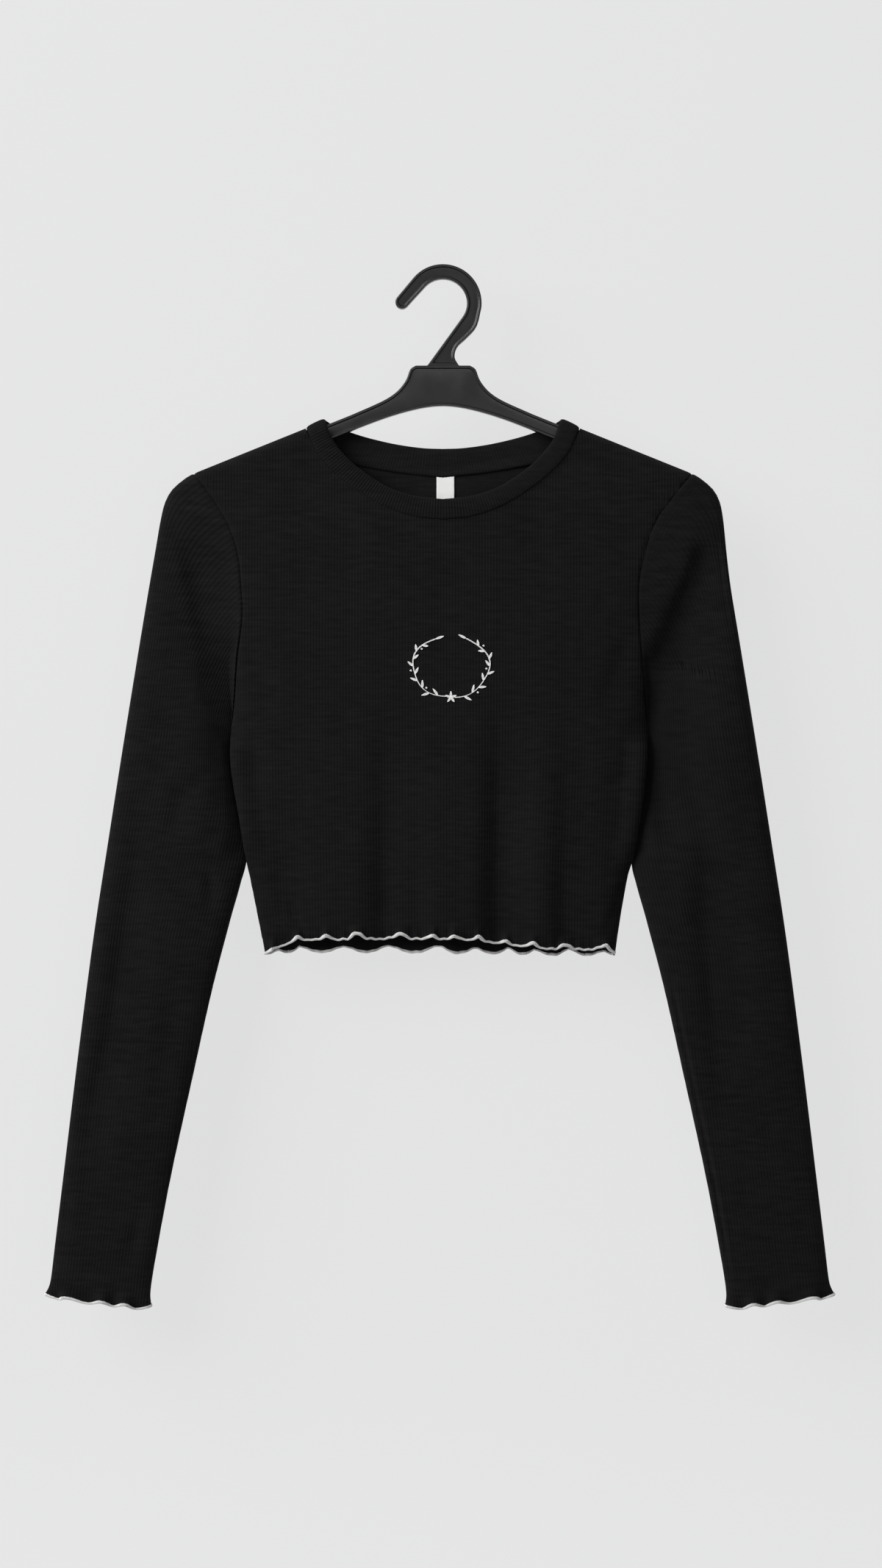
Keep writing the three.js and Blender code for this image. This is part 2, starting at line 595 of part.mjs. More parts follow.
/** The right half of the hanger below its hook, as points from the plate to the arch. */
function armOutline() {
  const along = new THREE.Vector2(Math.cos(ARM.slope * DEGREE), -Math.sin(ARM.slope * DEGREE));
  const up = new THREE.Vector2(-along.y, along.x);
  const plateSide = new THREE.SplineCurve([
    new THREE.Vector2(PLATE.topHalf, PLATE.topZ), new THREE.Vector2(24.4, -67.6),
    new THREE.Vector2(27, -74.4), new THREE.Vector2(30.4, -79.8), new THREE.Vector2(36, -85.6),
    new THREE.Vector2(46, -91.8), new THREE.Vector2(ARM.startX, ARM.startZ),
  ]).getPoints(14);
  const topEnd = new THREE.Vector2(ARM.startX, ARM.startZ)
    .addScaledVector(along, (ARM.endX - ARM.startX) / along.x);
  const centre = topEnd.clone().addScaledVector(up, -ARM.height / 2);
  const tip = [];
  for (let turn = 0; turn <= 180; turn += 30) {
    const angle = (90 - ARM.slope - turn) * DEGREE;
    const out = new THREE.Vector2(Math.cos(angle), Math.sin(angle));
    tip.push(centre.clone().addScaledVector(out, ARM.height / 2));
  }
  const lowStart = new THREE.Vector2(ARM.startX, ARM.startZ).addScaledVector(up, -ARM.height);
  const archReach = (lowStart.y - PLATE.archZ) / along.y * along.x;
  const arch = new THREE.QuadraticBezierCurve(
    lowStart, new THREE.Vector2(lowStart.x - archReach, PLATE.archZ),
    new THREE.Vector2(0, PLATE.archZ),
  ).getPoints(8);
  return [...plateSide, ...tip, ...arch];
}

function arcPoints(radius, fromDegrees, toDegrees, steps) {
  const points = [];
  for (let i = 0; i <= steps; i += 1) {
    const angle = lerp(fromDegrees, toDegrees, i / steps) * DEGREE;
    points.push(new THREE.Vector2(
      radius * Math.cos(angle), HOOK.centreZ + radius * Math.sin(angle)));
  }
  return points;
}

/** The hanger's outline, clockwise from the hook's tip. */
function hangerOutline() {
  const tipCap = [];
  for (let turn = 0; turn <= 180; turn += 30) {
    const angle = (HOOK.mouthAngle - 180 - turn) * DEGREE;
    tipCap.push(new THREE.Vector2(
      HOOK_TIP.x + HOOK_TIP.radius * Math.cos(angle),
      HOOK_TIP.z + HOOK_TIP.radius * Math.sin(angle)));
  }
  const stemRight = new THREE.SplineCurve([
    new THREE.Vector2(28.9, -21), new THREE.Vector2(25.2, -35.4), new THREE.Vector2(17.4, -44.4),
    new THREE.Vector2(10.6, -51), new THREE.Vector2(8.8, -58.6), new THREE.Vector2(12, PLATE.topZ),
  ]).getPoints(12);
  const half = armOutline();
  const mirrored = half.slice(0, -1).reverse().map((point) => new THREE.Vector2(-point.x, point.y));
  return [
    ...arcPoints(HOOK.outerRadius, HOOK.mouthAngle, 0, 14),
    ...stemRight,
    ...half,
    ...mirrored,
    new THREE.Vector2(-11.6, PLATE.topZ),
    ...arcPoints(HOOK.innerRadius, HOOK.stemAngle, HOOK.mouthAngle, 14),
    ...tipCap,
  ];
}

/** The same outline moved inwards, for the hollow between the moulded rims. */
function insetOutline(points, distance) {
  const area = THREE.ShapeUtils.area(points);
  const sense = Math.sign(area);
  return points.map((point, i) => {
    const before = points[(i + points.length - 1) % points.length];
    const after = points[(i + 1) % points.length];
    const first = point.clone().sub(before).normalize();
    const second = after.clone().sub(point).normalize();
    const left = new THREE.Vector2(-first.y - second.y, first.x + second.x).normalize();
    const mitre = Math.max(0.6, left.dot(new THREE.Vector2(-first.y, first.x)));
    return point.clone().addScaledVector(left, (sense * distance) / mitre);
  });
}

/** An outline in the X-Z plane made solid between two depths along Y. */
function extrudeOutline(points, fromY, toY) {
  const settings = { depth: toY - fromY, bevelEnabled: false };
  const geometry = new THREE.ExtrudeGeometry(new THREE.Shape(points), settings);
  geometry.rotateX(Math.PI / 2);
  geometry.translate(0, toY, 0);
  return geometry;
}

function toManifold(wasm, geometry) {
  const bare = geometry.clone();
  bare.deleteAttribute('normal');
  bare.deleteAttribute('uv');
  const merged = mergeVertices(bare, 1e-4);
  return new wasm.Manifold(new wasm.Mesh({
    numProp: 3,
    vertProperties: new Float32Array(merged.attributes.position.array),
    triVerts: new Uint32Array(merged.index.array),
  }));
}

function fromManifold(solid) {
  const mesh = solid.getMesh();
  const geometry = new THREE.BufferGeometry();
  const positions = new THREE.BufferAttribute(new Float32Array(mesh.vertProperties), 3);
  geometry.setAttribute('position', positions);
  geometry.setIndex(new THREE.BufferAttribute(new Uint32Array(mesh.triVerts), 1));
  geometry.computeVertexNormals();
  return geometry;
}

/** Hook, plate and arms in one moulding, with a rim round a thinner web on both faces. */
async function makeHanger() {
  const wasm = await Module();
  wasm.setup();
  const outline = hangerOutline();
  const hollow = insetOutline(outline, HANGER.rim);
  const half = HANGER.thickness / 2;
  const webHalf = HANGER.web / 2;
  const body = toManifold(wasm, extrudeOutline(outline, -half, half));
  const frontPocket = toManifold(wasm, extrudeOutline(hollow, -half - 1, -webHalf));
  const backPocket = toManifold(wasm, extrudeOutline(hollow, webHalf, half + 1));
  return fromManifold(body.subtract(frontPocket).subtract(backPocket));
}

function finish(colour, roughness) {
  return new THREE.MeshStandardMaterial({ color: colour, roughness, metalness: 0 });
}

const KNIT = finish(0x17171a, 0.92);
const NECK_KNIT = finish(0x1a1a1d, 0.92);
const PLASTIC = finish(0x2b2b2d, 0.45);
const SATIN = finish(0xf2f1ee, 0.6);

function named(name, geometry, material) {
  const mesh = new THREE.Mesh(geometry, material);
  mesh.name = name;
  return mesh;
}

const front = makePanel('front');
const back = makePanel('back');

const cropTop = new THREE.Group();
cropTop.name = 'crop_top_on_hanger';
cropTop.add(
  named('hanger', await makeHanger(), PLASTIC),
  named('front', front.geometry, KNIT),
  named('back', back.geometry, KNIT),
  named('sleeve_left', makeSleeve(front, back, 'left'), KNIT),
  named('sleeve_right', makeSleeve(front, back, 'right'), KNIT),
  named('neckband', makeNeckband(front, back), NECK_KNIT),
  named('neck_label', makeLabel(), SATIN),
);

export default cropTop;
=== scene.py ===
"""A black rib-knit crop top on a moulded plastic hanger, dressed for rendering.

Lengths in tables and fields are millimetres, and meshes are built in metres. X runs to
the viewer's right, Y to the back and Z up, from the inner top of the hanger's hook.
"""

import logging
import math
from collections.abc import Sequence
from dataclasses import dataclass
from enum import Enum

import bmesh
import bpy
import numpy as np
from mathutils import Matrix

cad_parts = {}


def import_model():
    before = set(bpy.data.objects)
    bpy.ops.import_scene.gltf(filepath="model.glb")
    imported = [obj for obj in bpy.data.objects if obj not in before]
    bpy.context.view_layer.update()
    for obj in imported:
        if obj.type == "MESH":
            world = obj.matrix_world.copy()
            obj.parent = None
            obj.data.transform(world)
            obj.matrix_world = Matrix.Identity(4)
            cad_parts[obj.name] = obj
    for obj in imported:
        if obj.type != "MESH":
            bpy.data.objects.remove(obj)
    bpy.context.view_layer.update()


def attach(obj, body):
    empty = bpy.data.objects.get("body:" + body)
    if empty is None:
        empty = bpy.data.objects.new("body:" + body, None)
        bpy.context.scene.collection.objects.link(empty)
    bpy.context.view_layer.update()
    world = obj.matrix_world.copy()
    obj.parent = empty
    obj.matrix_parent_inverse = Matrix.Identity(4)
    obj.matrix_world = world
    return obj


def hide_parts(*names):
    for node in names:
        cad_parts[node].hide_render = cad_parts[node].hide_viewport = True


LOG = logging.getLogger("crop_top")
MM = 0.001

# Places no further apart than this count as one place.
TOUCH = 0.01

Array = np.ndarray
Line = tuple[tuple[float, float], ...]


class Face(Enum):
    """Which way a panel of the body faces, as its sign along Y."""

    FRONT = -1
    BACK = 1


class Side(Enum):
    """Which sleeve, as the viewer sees it, with its sign along X."""

    LEFT = -1
    RIGHT = 1


# The body's half width at each height: z, left, right.
SIDE_LINE = (
    (-145.3, 186.2, 186.2), (-163, 173, 171.5), (-176, 164.6, 162), (-190, 157.5, 155),
    (-208, 152.6, 149.3), (-226, 150.8, 146.2), (-252, 149.6, 146), (-284, 153.5, 148.4),
    (-320, 156.2, 151.2), (-341, 159, 153.2), (-368, 158.2, 152.2), (-402, 152.6, 148),
    (-432, 147.7, 142.5), (-451, 143.8, 137.4), (-484, 137.2, 131.7), (-505, 133.4, 128.8),
)

# How far the cloth stands out at each height: z, front, back, armhole edge.
DEPTH_LINE = (
    (-111.6, 8, 8, 8), (-145, 8.8, 8.6, 8), (-175, 10.4, 9.4, 9), (-205, 12.2, 10.4, 10),
    (-245, 14.2, 11.6, 10.5), (-275, 15.2, 12.4, 9.5), (-305, 15.8, 12.8, 6.5),
    (-325, 16, 13, 3), (-338, 16, 13, 0), (-430, 15.4, 12.6, 0), (-505, 14.2, 12, 0),
)

# The neckband's seam and its free edge: x, z.
NECK_SEAM = {
    Face.FRONT: ((0, -180.9), (21.5, -178.6), (44, -171), (63.5, -159.5), (80.8, -146),
                 (95.2, -129.5), (102.7, -111.6)),
    Face.BACK: ((0, -145), (30.5, -141.8), (54.7, -137.7), (73, -133.5), (90, -126),
                (98, -119.4), (102.7, -111.6)),
}
NECK_TOP = {
    Face.FRONT: ((0, -165), (21.3, -162.6), (41, -156), (58, -145.5), (72, -133.5),
                 (83, -119), (88.3, -104.6)),
    Face.BACK: ((0, -126), (15, -125.4), (35.5, -122.5), (55.5, -117.9), (70, -113.4),
                (81, -109), (88.3, -104.6)),
}

# The hem's mean line: x, z.
HEM_LINE = {
    Face.FRONT: ((-134, -505), (-110, -495.5), (-88, -494), (0, -493.4), (20, -494),
                 (45, -497.4), (85, -501.2), (115, -501.8), (130, -504.4)),
    Face.BACK: ((-134, -505), (-110, -503.8), (0, -504.4), (100, -506), (130, -505.6)),
}

# Where each wave of the hem swings outwards, and how far it lifts: x, lift.
HEM_WAVES = {
    Face.FRONT: ((-127, 1), (-109, 3.2), (-87, 3), (-65, 5), (-31, 4), (-7.4, 2.6), (8.5, 2.4),
                 (26.7, 3.4), (46.5, 2.4), (66.3, 3.6), (90.8, 3.6), (121.3, 4.4)),
    Face.BACK: ((-124, 2.4), (-108, 4.6), (-74, 4.8), (-41, 5.4), (-2.5, 6), (25, 4.2),
                (50, 5), (69, 4), (95, 5), (121, 3)),
}

# How narrow the hem's crests are, how much of the small ripple it has, and how far the
# panel draws in above it.
HEM_CREST_POWER = {Face.FRONT: 2.6, Face.BACK: 1.5}
HEM_RIPPLE = {Face.FRONT: 1.0, Face.BACK: 0.35}
HEM_CLOSING = {Face.FRONT: 1.0, Face.BACK: 3.5}

# The small ripple's two waves: height, turn for each millimetre, and start.
RIPPLES = ((0.16, 0.93, 1.3), (0.12, 0.57, 0.0))

# Sections of a sleeve from the armhole to the cuff's edge: outer x and z, inner x and z,
# depth each way, and how much of the armhole's own curve is left.
SLEEVE_SECTIONS = (
    (186.6, -145.4, 159.6, -338.4, 8, 1), (193.4, -149.6, 160.3, -341, 8.8, 0.85),
    (202.2, -157.2, 160.9, -345.5, 9, 0.6), (207.6, -166.6, 161, -351, 9.3, 0.36),
    (211, -180, 160.8, -358.5, 9.6, 0.16), (214.8, -202, 160, -370, 10.4, 0),
    (221, -238, 157.2, -388, 11, 0), (229.6, -290, 152.2, -414, 11.4, 0),
    (239.6, -352, 149.6, -442, 11.4, 0), (250.2, -420, 159.6, -481, 11.2, 0),
    (261.2, -492, 172.4, -530, 10.8, 0), (272.6, -579, 187.4, -597, 10, 0),
    (283, -664, 204.4, -675, 9, 0), (291.8, -737, 217.4, -746, 8, 0),
    (294, -762.4, 220.2, -771, 8.4, 0),
)

# How far along a straight rib of the cap each tabled section lies, from the seam.
CAP_PROGRESS = (0.0, 0.137, 0.333, 0.517, 0.71, 1.0)


class Rule:
    """A flexible rule laid through measured places, as a pattern cutter draws a curve."""

    def __init__(self, places: Sequence[float], values: Sequence[float]) -> None:
        """Lay the rule.

        Args:
            places: Where each value was measured, in rising or falling order.
            values: The measured values.
        """
        order = np.argsort(np.asarray(places, float))
        self.places = np.asarray(places, float)[order]
        self.values = np.asarray(values, float)[order]
        rise = np.diff(self.values) / np.diff(self.places)
        inner = (self.values[2:] - self.values[:-2]) / (self.places[2:] - self.places[:-2])
        self.slopes = np.concatenate([rise[:1], inner, rise[-1:]])

    def at(self, place: Array | float) -> Array:
        """Read the rule.

        Args:
            place: One place or an array of places.

        Returns:
            The value at each place, held level past either end.
        """
        place = np.clip(np.asarray(place, float), self.places[0], self.places[-1])
        i = np.searchsorted(self.places, place, side="right") - 1
        i = np.clip(i, 0, len(self.places) - 2)
        width = self.places[i + 1] - self.places[i]
        t = (place - self.places[i]) / width
        ends = self.values[i] * (1 + 2 * t) * (1 - t) ** 2 + self.values[i + 1] * t * t * (3 - 2 * t)
        lean = self.slopes[i] * t * (1 - t) ** 2 - self.slopes[i + 1] * t * t * (1 - t)
        return ends + lean * width


def rule_from(table: Sequence[Sequence[float]], column: int) -> Rule:
    """Lay a rule through one column of a table whose first column is the place."""
    return Rule([row[0] for row in table], [row[column] for row in table])


def smoothstep(value: Array, start: float, end: float) -> Array:
    """Ease from 0 at start to 1 at end."""
    t = np.clip((np.asarray(value, float) - start) / (end - start), 0, 1)
    return t * t * (3 - 2 * t)


def blend(start: Array, end: Array, share: Array) -> Array:
    """Mix two values by a share from 0 to 1."""
    return start + (end - start) * share


def unit(vectors: Array) -> Array:
    """Scale vectors to length 1, leaving zero vectors alone."""
    length = np.linalg.norm(vectors, axis=-1, keepdims=True)
    return vectors / np.maximum(length, 1e-12)


def travelled(points: Array) -> Array:
    """Length of a line up to each of its points."""
    return np.concatenate([[0], np.cumsum(np.linalg.norm(np.diff(points, axis=0), axis=1))])


def walked(places: Array, travel: Array, values: Array) -> Array:
    """Read points or directions at places along a line, given its length up to each."""
    return np.stack([np.interp(places, travel, values[:, k]) for k in range(3)], axis=1)


@dataclass(frozen=True)
class Crease:
    """A soft trough pressed along a line of the cloth, with a raised shoulder beside it.

    The line runs downwards. A lean below 0 makes the trough steep on the viewer's left of
    the line and wide on the right.
    """

    line: Line
    widths: tuple[float, float]
    depth: float
    lean: float = 0.0
    fade: float = 0.25
    shoulder_place: float = 1.9
    shoulder_height: float = 0.2

    def measure(self, x: Array, z: Array) -> tuple[Array, Array, Array]:
        """Measure places from the line.

        Args:
            x: Places across the cloth.
            z: Heights of those places.

        Returns:
            The distance from the line, its side (1 to the viewer's right), and the share of
            the way along the line.
        """
        points = np.asarray(self.line, float)
        spans = np.linalg.norm(np.diff(points, axis=0), axis=1)
        starts = np.concatenate([[0], np.cumsum(spans)])
        nearest = np.full(np.shape(x), 1e9)
        signed = np.zeros(np.shape(x))
        along = np.zeros(np.shape(x))
        for i, span in enumerate(spans):
            run = (points[i + 1] - points[i]) / span
            dx, dz = x - points[i, 0], z - points[i, 1]
            travel = np.clip(dx * run[0] + dz * run[1], 0, span)
            away = np.hypot(dx - travel * run[0], dz - travel * run[1])
            closer = away < nearest
            nearest = np.where(closer, away, nearest)
            signed = np.where(closer, np.sign(run[0] * dz - run[1] * dx), signed)
            along = np.where(closer, (starts[i] + travel) / starts[-1], along)
        return nearest, signed, along

    def ends(self, along: Array) -> Array:
        """Fade the crease out towards both ends of its line."""
        return smoothstep(along, 0, self.fade) * smoothstep(1 - along, 0, self.fade)

    def press(self, x: Array, z: Array) -> Array:
        """Find how deep the crease is.

        Args:
            x: Places across the cloth.
            z: Heights of those places.

        Returns:
            The depth at each place.
        """
        nearest, signed, along = self.measure(x, z)
        width = blend(self.widths[0], self.widths[1], along) * (1 - self.lean * signed)
        trough = np.exp(-((nearest / width) ** 2))
        shoulder = np.exp(-(((nearest - self.shoulder_place * width) / width) ** 2))
        return self.depth * (trough - self.shoulder_height * shoulder) * self.ends(along)


@dataclass(frozen=True)
class Ledge(Crease):
    """A fold whose cloth falls away at once on the viewer's right of its line."""

    recovery: float = 2.0
    corner: float = 0.02

    def press(self, x: Array, z: Array) -> Array:
        """Find how deep the cloth has fallen.

        Args:
            x: Places across the cloth.
            z: Heights of those places.

        Returns:
            The depth at each place.
        """
        nearest, signed, along = self.measure(x, z)
        past = nearest * signed / blend(self.widths[0], self.widths[1], along)
        past = (past + np.sqrt(past ** 2 + self.corner)) / 2
        fallen = 1 - (1 - np.minimum(past, 1)) ** 2
        recovered = np.exp(-((np.maximum(past - 1, 0) / self.recovery) ** 2))
        return self.depth * fallen * recovered * self.ends(along)


# Soft vertical folds of the body and the pulls beside its seams.
BODY_CREASES = {
    Face.FRONT: (
        Crease(((-117, -300), (-119, -430), (-117, -680)), (13, 15), 3.6, -0.3, 0.5),
        Crease(((-40, -290), (-42, -420), (-43, -700)), (15, 18), 4.8, -0.3, 0.5),
        Crease(((43, -270), (42, -400), (40, -690)), (14, 18), 6.6, -0.34, 0.46),
        Crease(((94, -300), (92, -430), (93, -700)), (14, 17), 4.8, -0.3, 0.5),
        Crease(((-18, -350), (-18, -640)), (9, 10), 1.8, -0.2, 0.5),
        Crease(((-116, -464), (-102, -492)), (3.5, 4), 2.4, fade=0.35),
        Crease(((-147, -432), (-121, -493)), (3, 4), 2.2, fade=0.35),
        Crease(((143, -432), (120, -494)), (3, 4), 2.2, fade=0.35),
        Crease(((150, -352), (118, -392)), (6, 9), 1.6, fade=0.45),
        Crease(((-154, -350), (-122, -384)), (6, 9), 1.5, fade=0.45),
        Crease(((147, -252), (128, -300), (122, -336)), (6, 11), 1.8, fade=0.4),
        Crease(((-150, -262), (-133, -304), (-126, -342)), (6, 11), 1.6, fade=0.4),
        Crease(((60, -168), (66, -200), (64, -236)), (8, 14), 0.8, fade=0.5),
        Crease(((-64, -168), (-70, -206), (-66, -240)), (8, 14), 0.8, fade=0.5),
    ),
    Face.BACK: (
        Crease(((-70, -330), (-72, -430), (-70, -620)), (12, 15), 4.6, 0.3, 0.3),
        Crease(((4, -345), (6, -430), (4, -620)), (11, 13), 4.0, 0.3, 0.3),
        Crease(((78, -320), (76, -420), (79, -620)), (12, 14), 5.0, 0.3, 0.3),
        Crease(((148, -256), (130, -304), (124, -340)), (6, 11), 1.2, fade=0.4),
        Crease(((-151, -260), (-134, -306), (-127, -344)), (6, 11), 1.3, fade=0.4),
        Crease(((-40, -160), (0, -172), (42, -160)), (7, 7), 0.7, fade=0.5),
    ),
}

# Creases of the sleeves: the largest from the cap to the underarm, then the small ones.
SLEEVE_CREASES = {
    (Side.LEFT, Face.FRONT): (
        Ledge(((-204, -184), (-199, -204), (-195, -224), (-190, -248), (-184, -280),
               (-182, -330)), (11, 18), 4.4, fade=0.3),
        Crease(((-176, -436), (-171, -474)), (4, 5), 1.6, fade=0.4),
        Crease(((-153, -256), (-158, -310), (-160, -344), (-156, -384), (-150, -440)),
               (14, 14), 5.0, fade=0.3),
        Crease(((-221, -316), (-230, -440), (-247, -561), (-262, -628), (-275, -760)), (14, 12),
               3.0, -0.3, 0.42),
        Ledge(((-159.8, -470), (-175.4, -530), (-190.4, -597), (-207.4, -675), (-222, -760)),
              (1.2, 1.2), 4.4, fade=0.12, recovery=9.0),
        Crease(((-168, -356), (-196, -392), (-208, -440)), (6, 10), 1.4, fade=0.45),
        Crease(((-227, -698), (-230, -716), (-237, -738)), (5, 6), 1.5, fade=0.4),
        Crease(((-279, -664), (-283, -698), (-286, -726)), (5, 6), 1.3, fade=0.4),
        Crease(((-196, -508), (-206, -566), (-212, -640)), (7, 9), 1.0, fade=0.45),
    ),
    (Side.RIGHT, Face.FRONT): (
        Ledge(((188, -184), (186.7, -198), (183, -210), (178.8, -222), (174, -232), (169, -243),
               (163, -255), (157, -269), (152, -283), (149, -303)), (11, 18), 8.2, fade=0.22),
        Crease(((160, -258), (168, -300), (171, -340), (170, -376), (166, -412), (162, -448)),
               (24, 20), 8.4, fade=0.3),
        Crease(((150, -276), (153, -310), (154, -340), (152, -376), (148, -420)), (9, 11), 4.4,
               fade=0.3),
        Crease(((166, -184), (171, -189)), (3, 3), 1.0, fade=0.45),
        Crease(((160, -192), (166, -198)), (3, 3), 1.0, fade=0.45),
        Crease(((195, -310), (197, -470), (205, -561), (216, -680)), (15, 14), 3.2, -0.3, 0.45),
        Crease(((168, -516), (185.2, -597), (202.2, -675), (215.5, -750)), (1.7, 1.7), 2.2,
               fade=0.15),
        Crease(((163, -352), (190, -386), (204, -436)), (6, 10), 1.5, fade=0.45),
        Crease(((208, -470), (222, -540), (232, -618)), (7, 9), 1.0, fade=0.45),
    ),
    (Side.LEFT, Face.BACK): (
        Crease(((-196, -186), (-189, -214), (-180, -246), (-170, -290)), (5, 12), 3.2, fade=0.3),
        Crease(((-168, -358), (-192, -392), (-203, -440)), (6, 10), 1.6, fade=0.45),
        Crease(((-226, -430), (-236, -520), (-240, -590)), (8, 9), 1.2, fade=0.4),
    ),
    (Side.RIGHT, Face.BACK): (
        Crease(((194, -184), (187, -212), (177, -246), (166, -292)), (5, 12), 3.4, fade=0.3),
        Crease(((164, -356), (188, -390), (199, -438)), (6, 10), 1.6, fade=0.45),
        Crease(((221, -428), (230, -520), (236, -590)), (8, 9), 1.2, fade=0.4),
    ),
}


@dataclass(frozen=True)
class BodyPattern:
    """Outline and lie of the body's cloth on its hanger.

    Below the underarm the body's sides lap over the sleeves that hang beside them.
    """

    tip_x: float = 186.2
    tip_z: float = -145.3
    neck_x: float = 102.7
    neck_z: float = -111.6
    fold_radius: float = 8.0
    neck_lean: float = 0.043
    underarm_z: float = -338.0
    seam_gap: float = 0.4
    band: float = 13.0
    wave_depth: float = 3.0
    side_fade: float = 0.05
    squareness: int = 5
    closing_drop: tuple[float, float] = (450.0, 500.0)
    overlap_depth: float = 6.2
    overlap_width: float = 3.6
    overlap_start: float = 0.87
    overlap_top: tuple[float, float] = (336.0, 356.0)
    overlap_foot: tuple[float, float] = (-448.0, -420.0)

    def half_width(self, x: Array, z: Array) -> Array:
        """Half width of the body at each height, on the side where x lies."""
        left = rule_from(SIDE_LINE, 1).at(z)
        right = rule_from(SIDE_LINE, 2).at(z)
        return np.where(np.asarray(x) < 0, left, right)

    def top_height(self, face: Face, x: Array) -> Array:
        """Height of the shoulder seam, or of the neck seam between the shoulders."""
        distance = np.abs(x)
        slope = (self.tip_z - self.neck_z) / (self.tip_x - self.neck_x)
        shoulder = self.neck_z + (distance - self.neck_x) * slope
        return np.where(distance >= self.neck_x, shoulder, rule_from(NECK_SEAM[face], 1).at(distance))

    def over_ridge(self, drop: Array) -> Array:
        """Rounding of cloth over the shoulder: 0 at the ridge, 1 one radius below it."""
        share = np.clip(np.asarray(drop) / self.fold_radius, 0, 1)
        return np.sqrt(1 - (1 - share) ** 2)

    def top_depth(self, face: Face, x: Array) -> Array:
        """How far the top edge stands out: nothing along a shoulder seam."""
        drop = self.neck_z - self.top_height(face, x)
        depth = self.fold_radius * self.over_ridge(drop) + self.neck_lean * drop
        return np.where(np.abs(x) >= self.neck_x, 0, depth)

    def depth(self, face: Face, x: Array, z: Array) -> Array:
        """Distance of a panel's outer face from the middle plane, with its creases."""
        across = np.clip(np.abs(x) / self.half_width(x, z), 0, 1)
        edge = np.maximum(rule_from(DEPTH_LINE, 3).at(z), 0)
        middle = rule_from(DEPTH_LINE, 1 if face is Face.FRONT else 2).at(z)
        middle = middle - HEM_CLOSING[face] * smoothstep(-z, *self.closing_drop)
        for crease in BODY_CREASES[face]:
            middle = middle - crease.press(x, z)
        return edge + (middle - edge) * np.sqrt(1 - across ** self.squareness)

    def beside_sleeve(self, z: Array) -> Array:
        """Share of the overlap where the body's side lies over the sleeve beside it."""
        z = np.asarray(z, float)
        return smoothstep(-z, *self.overlap_top) * smoothstep(z, *self.overlap_foot)

    def forward(self, x: Array, z: Array) -> Array:
        """How far the body's side is pushed forward over the sleeve."""
        across = np.abs(x) / self.half_width(x, z)
        lapped = smoothstep(across, self.overlap_start, 1)
        return self.overlap_depth * lapped * self.beside_sleeve(z)

    def lie(self, face: Face, x: Array, z: Array) -> Array:
        """Y of a panel's outer face below its top edge.

        Args:
            face: The front or the back.
            x: Places across the panel.
            z: Heights of those places.

        Returns:
            The Y of the cloth at each place.
        """
        ridge = self.over_ridge(self.top_height(face, x) - z)
        out = blend(self.top_depth(face, x), self.depth(face, x, z), ridge)
        return face.value * (out + self.seam_gap / 2)

    def hem_wave(self, face: Face, x: Array) -> tuple[Array, Array]:
        """Find the ruffle of the hem.

        Args:
            face: The front or the back.
            x: Places along the hem.

        Returns:
            The swing, 1 where a wave stands out and -1 between two, and the lift there.
        """
        places = np.array([row[0] for row in HEM_WAVES[face]], float)
        lifts = np.array([row[1] for row in HEM_WAVES[face]], float)
        i = np.clip(np.searchsorted(places, x) - 1, 0, len(places) - 2)
        turn = (x - places[i]) / (places[i + 1] - places[i])
        crest = 2 * ((1 + np.cos(2 * np.pi * turn)) / 2) ** HEM_CREST_POWER[face] - 1
        small = sum(size * np.sin(x * rate + start) for size, rate, start in RIPPLES)
        lift = blend(lifts[i], lifts[i + 1], np.clip(turn, 0, 1))
        return crest + HEM_RIPPLE[face] * small, lift


def grid_quads(index: Array, closed: bool = False) -> Array:
    """Join rows of vertex numbers by quads.

    Args:
        index: Vertex numbers, a row for each row of the sheet.
        closed: Whether the last column joins the first.

    Returns:
        Quads of four vertex numbers.
    """
    following = np.roll(index, -1, axis=1)
    here, there = index[:-1], index[1:]
    quads = np.stack([here, there, following[1:], following[:-1]], axis=-1)
    if not closed:
        quads = quads[:, :-1]
    return quads.reshape(-1, 4)


def lace(first: Sequence[int], second: Sequence[int]) -> list[list[int]]:
    """Join two edges that may have different numbers of points by triangles."""
    faces = []
    i = j = 0
    while i < len(first) - 1 or j < len(second) - 1:
        next_i = (i + 1) / max(len(first) - 1, 1)
        next_j = (j + 1) / max(len(second) - 1, 1)
        if j >= len(second) - 1 or (i < len(first) - 1 and next_i <= next_j):
            faces.append([first[i], first[i + 1], second[j]])
            i += 1
        else:
            faces.append([first[i], second[j + 1], second[j]])
            j += 1
    return faces


def without_doubles(faces: Sequence[Sequence[int]]) -> list[list[int]]:
    """Drop repeated corners from faces, and faces that have fewer than three left."""
    kept = []
    for face in faces:
        corners = list(dict.fromkeys(int(corner) for corner in face))
        if len(corners) >= 3:
            kept.append(corners)
    return kept


def corner_normals(points: Array, quads: Array) -> Array:
    """Average the directions of the quads round each point.

    Args:
        points: Places of the points.
        quads: Quads that join them.

    Returns:
        A unit vector for each point.
    """
    across = points[quads[:, 2]] - points[quads[:, 0]]
    down = points[quads[:, 3]] - points[quads[:, 1]]
    faces = np.cross(across, down)
    normals = np.zeros_like(points)
    for corner in range(4):
        np.add.at(normals, quads[:, corner], faces)
    return unit(normals)


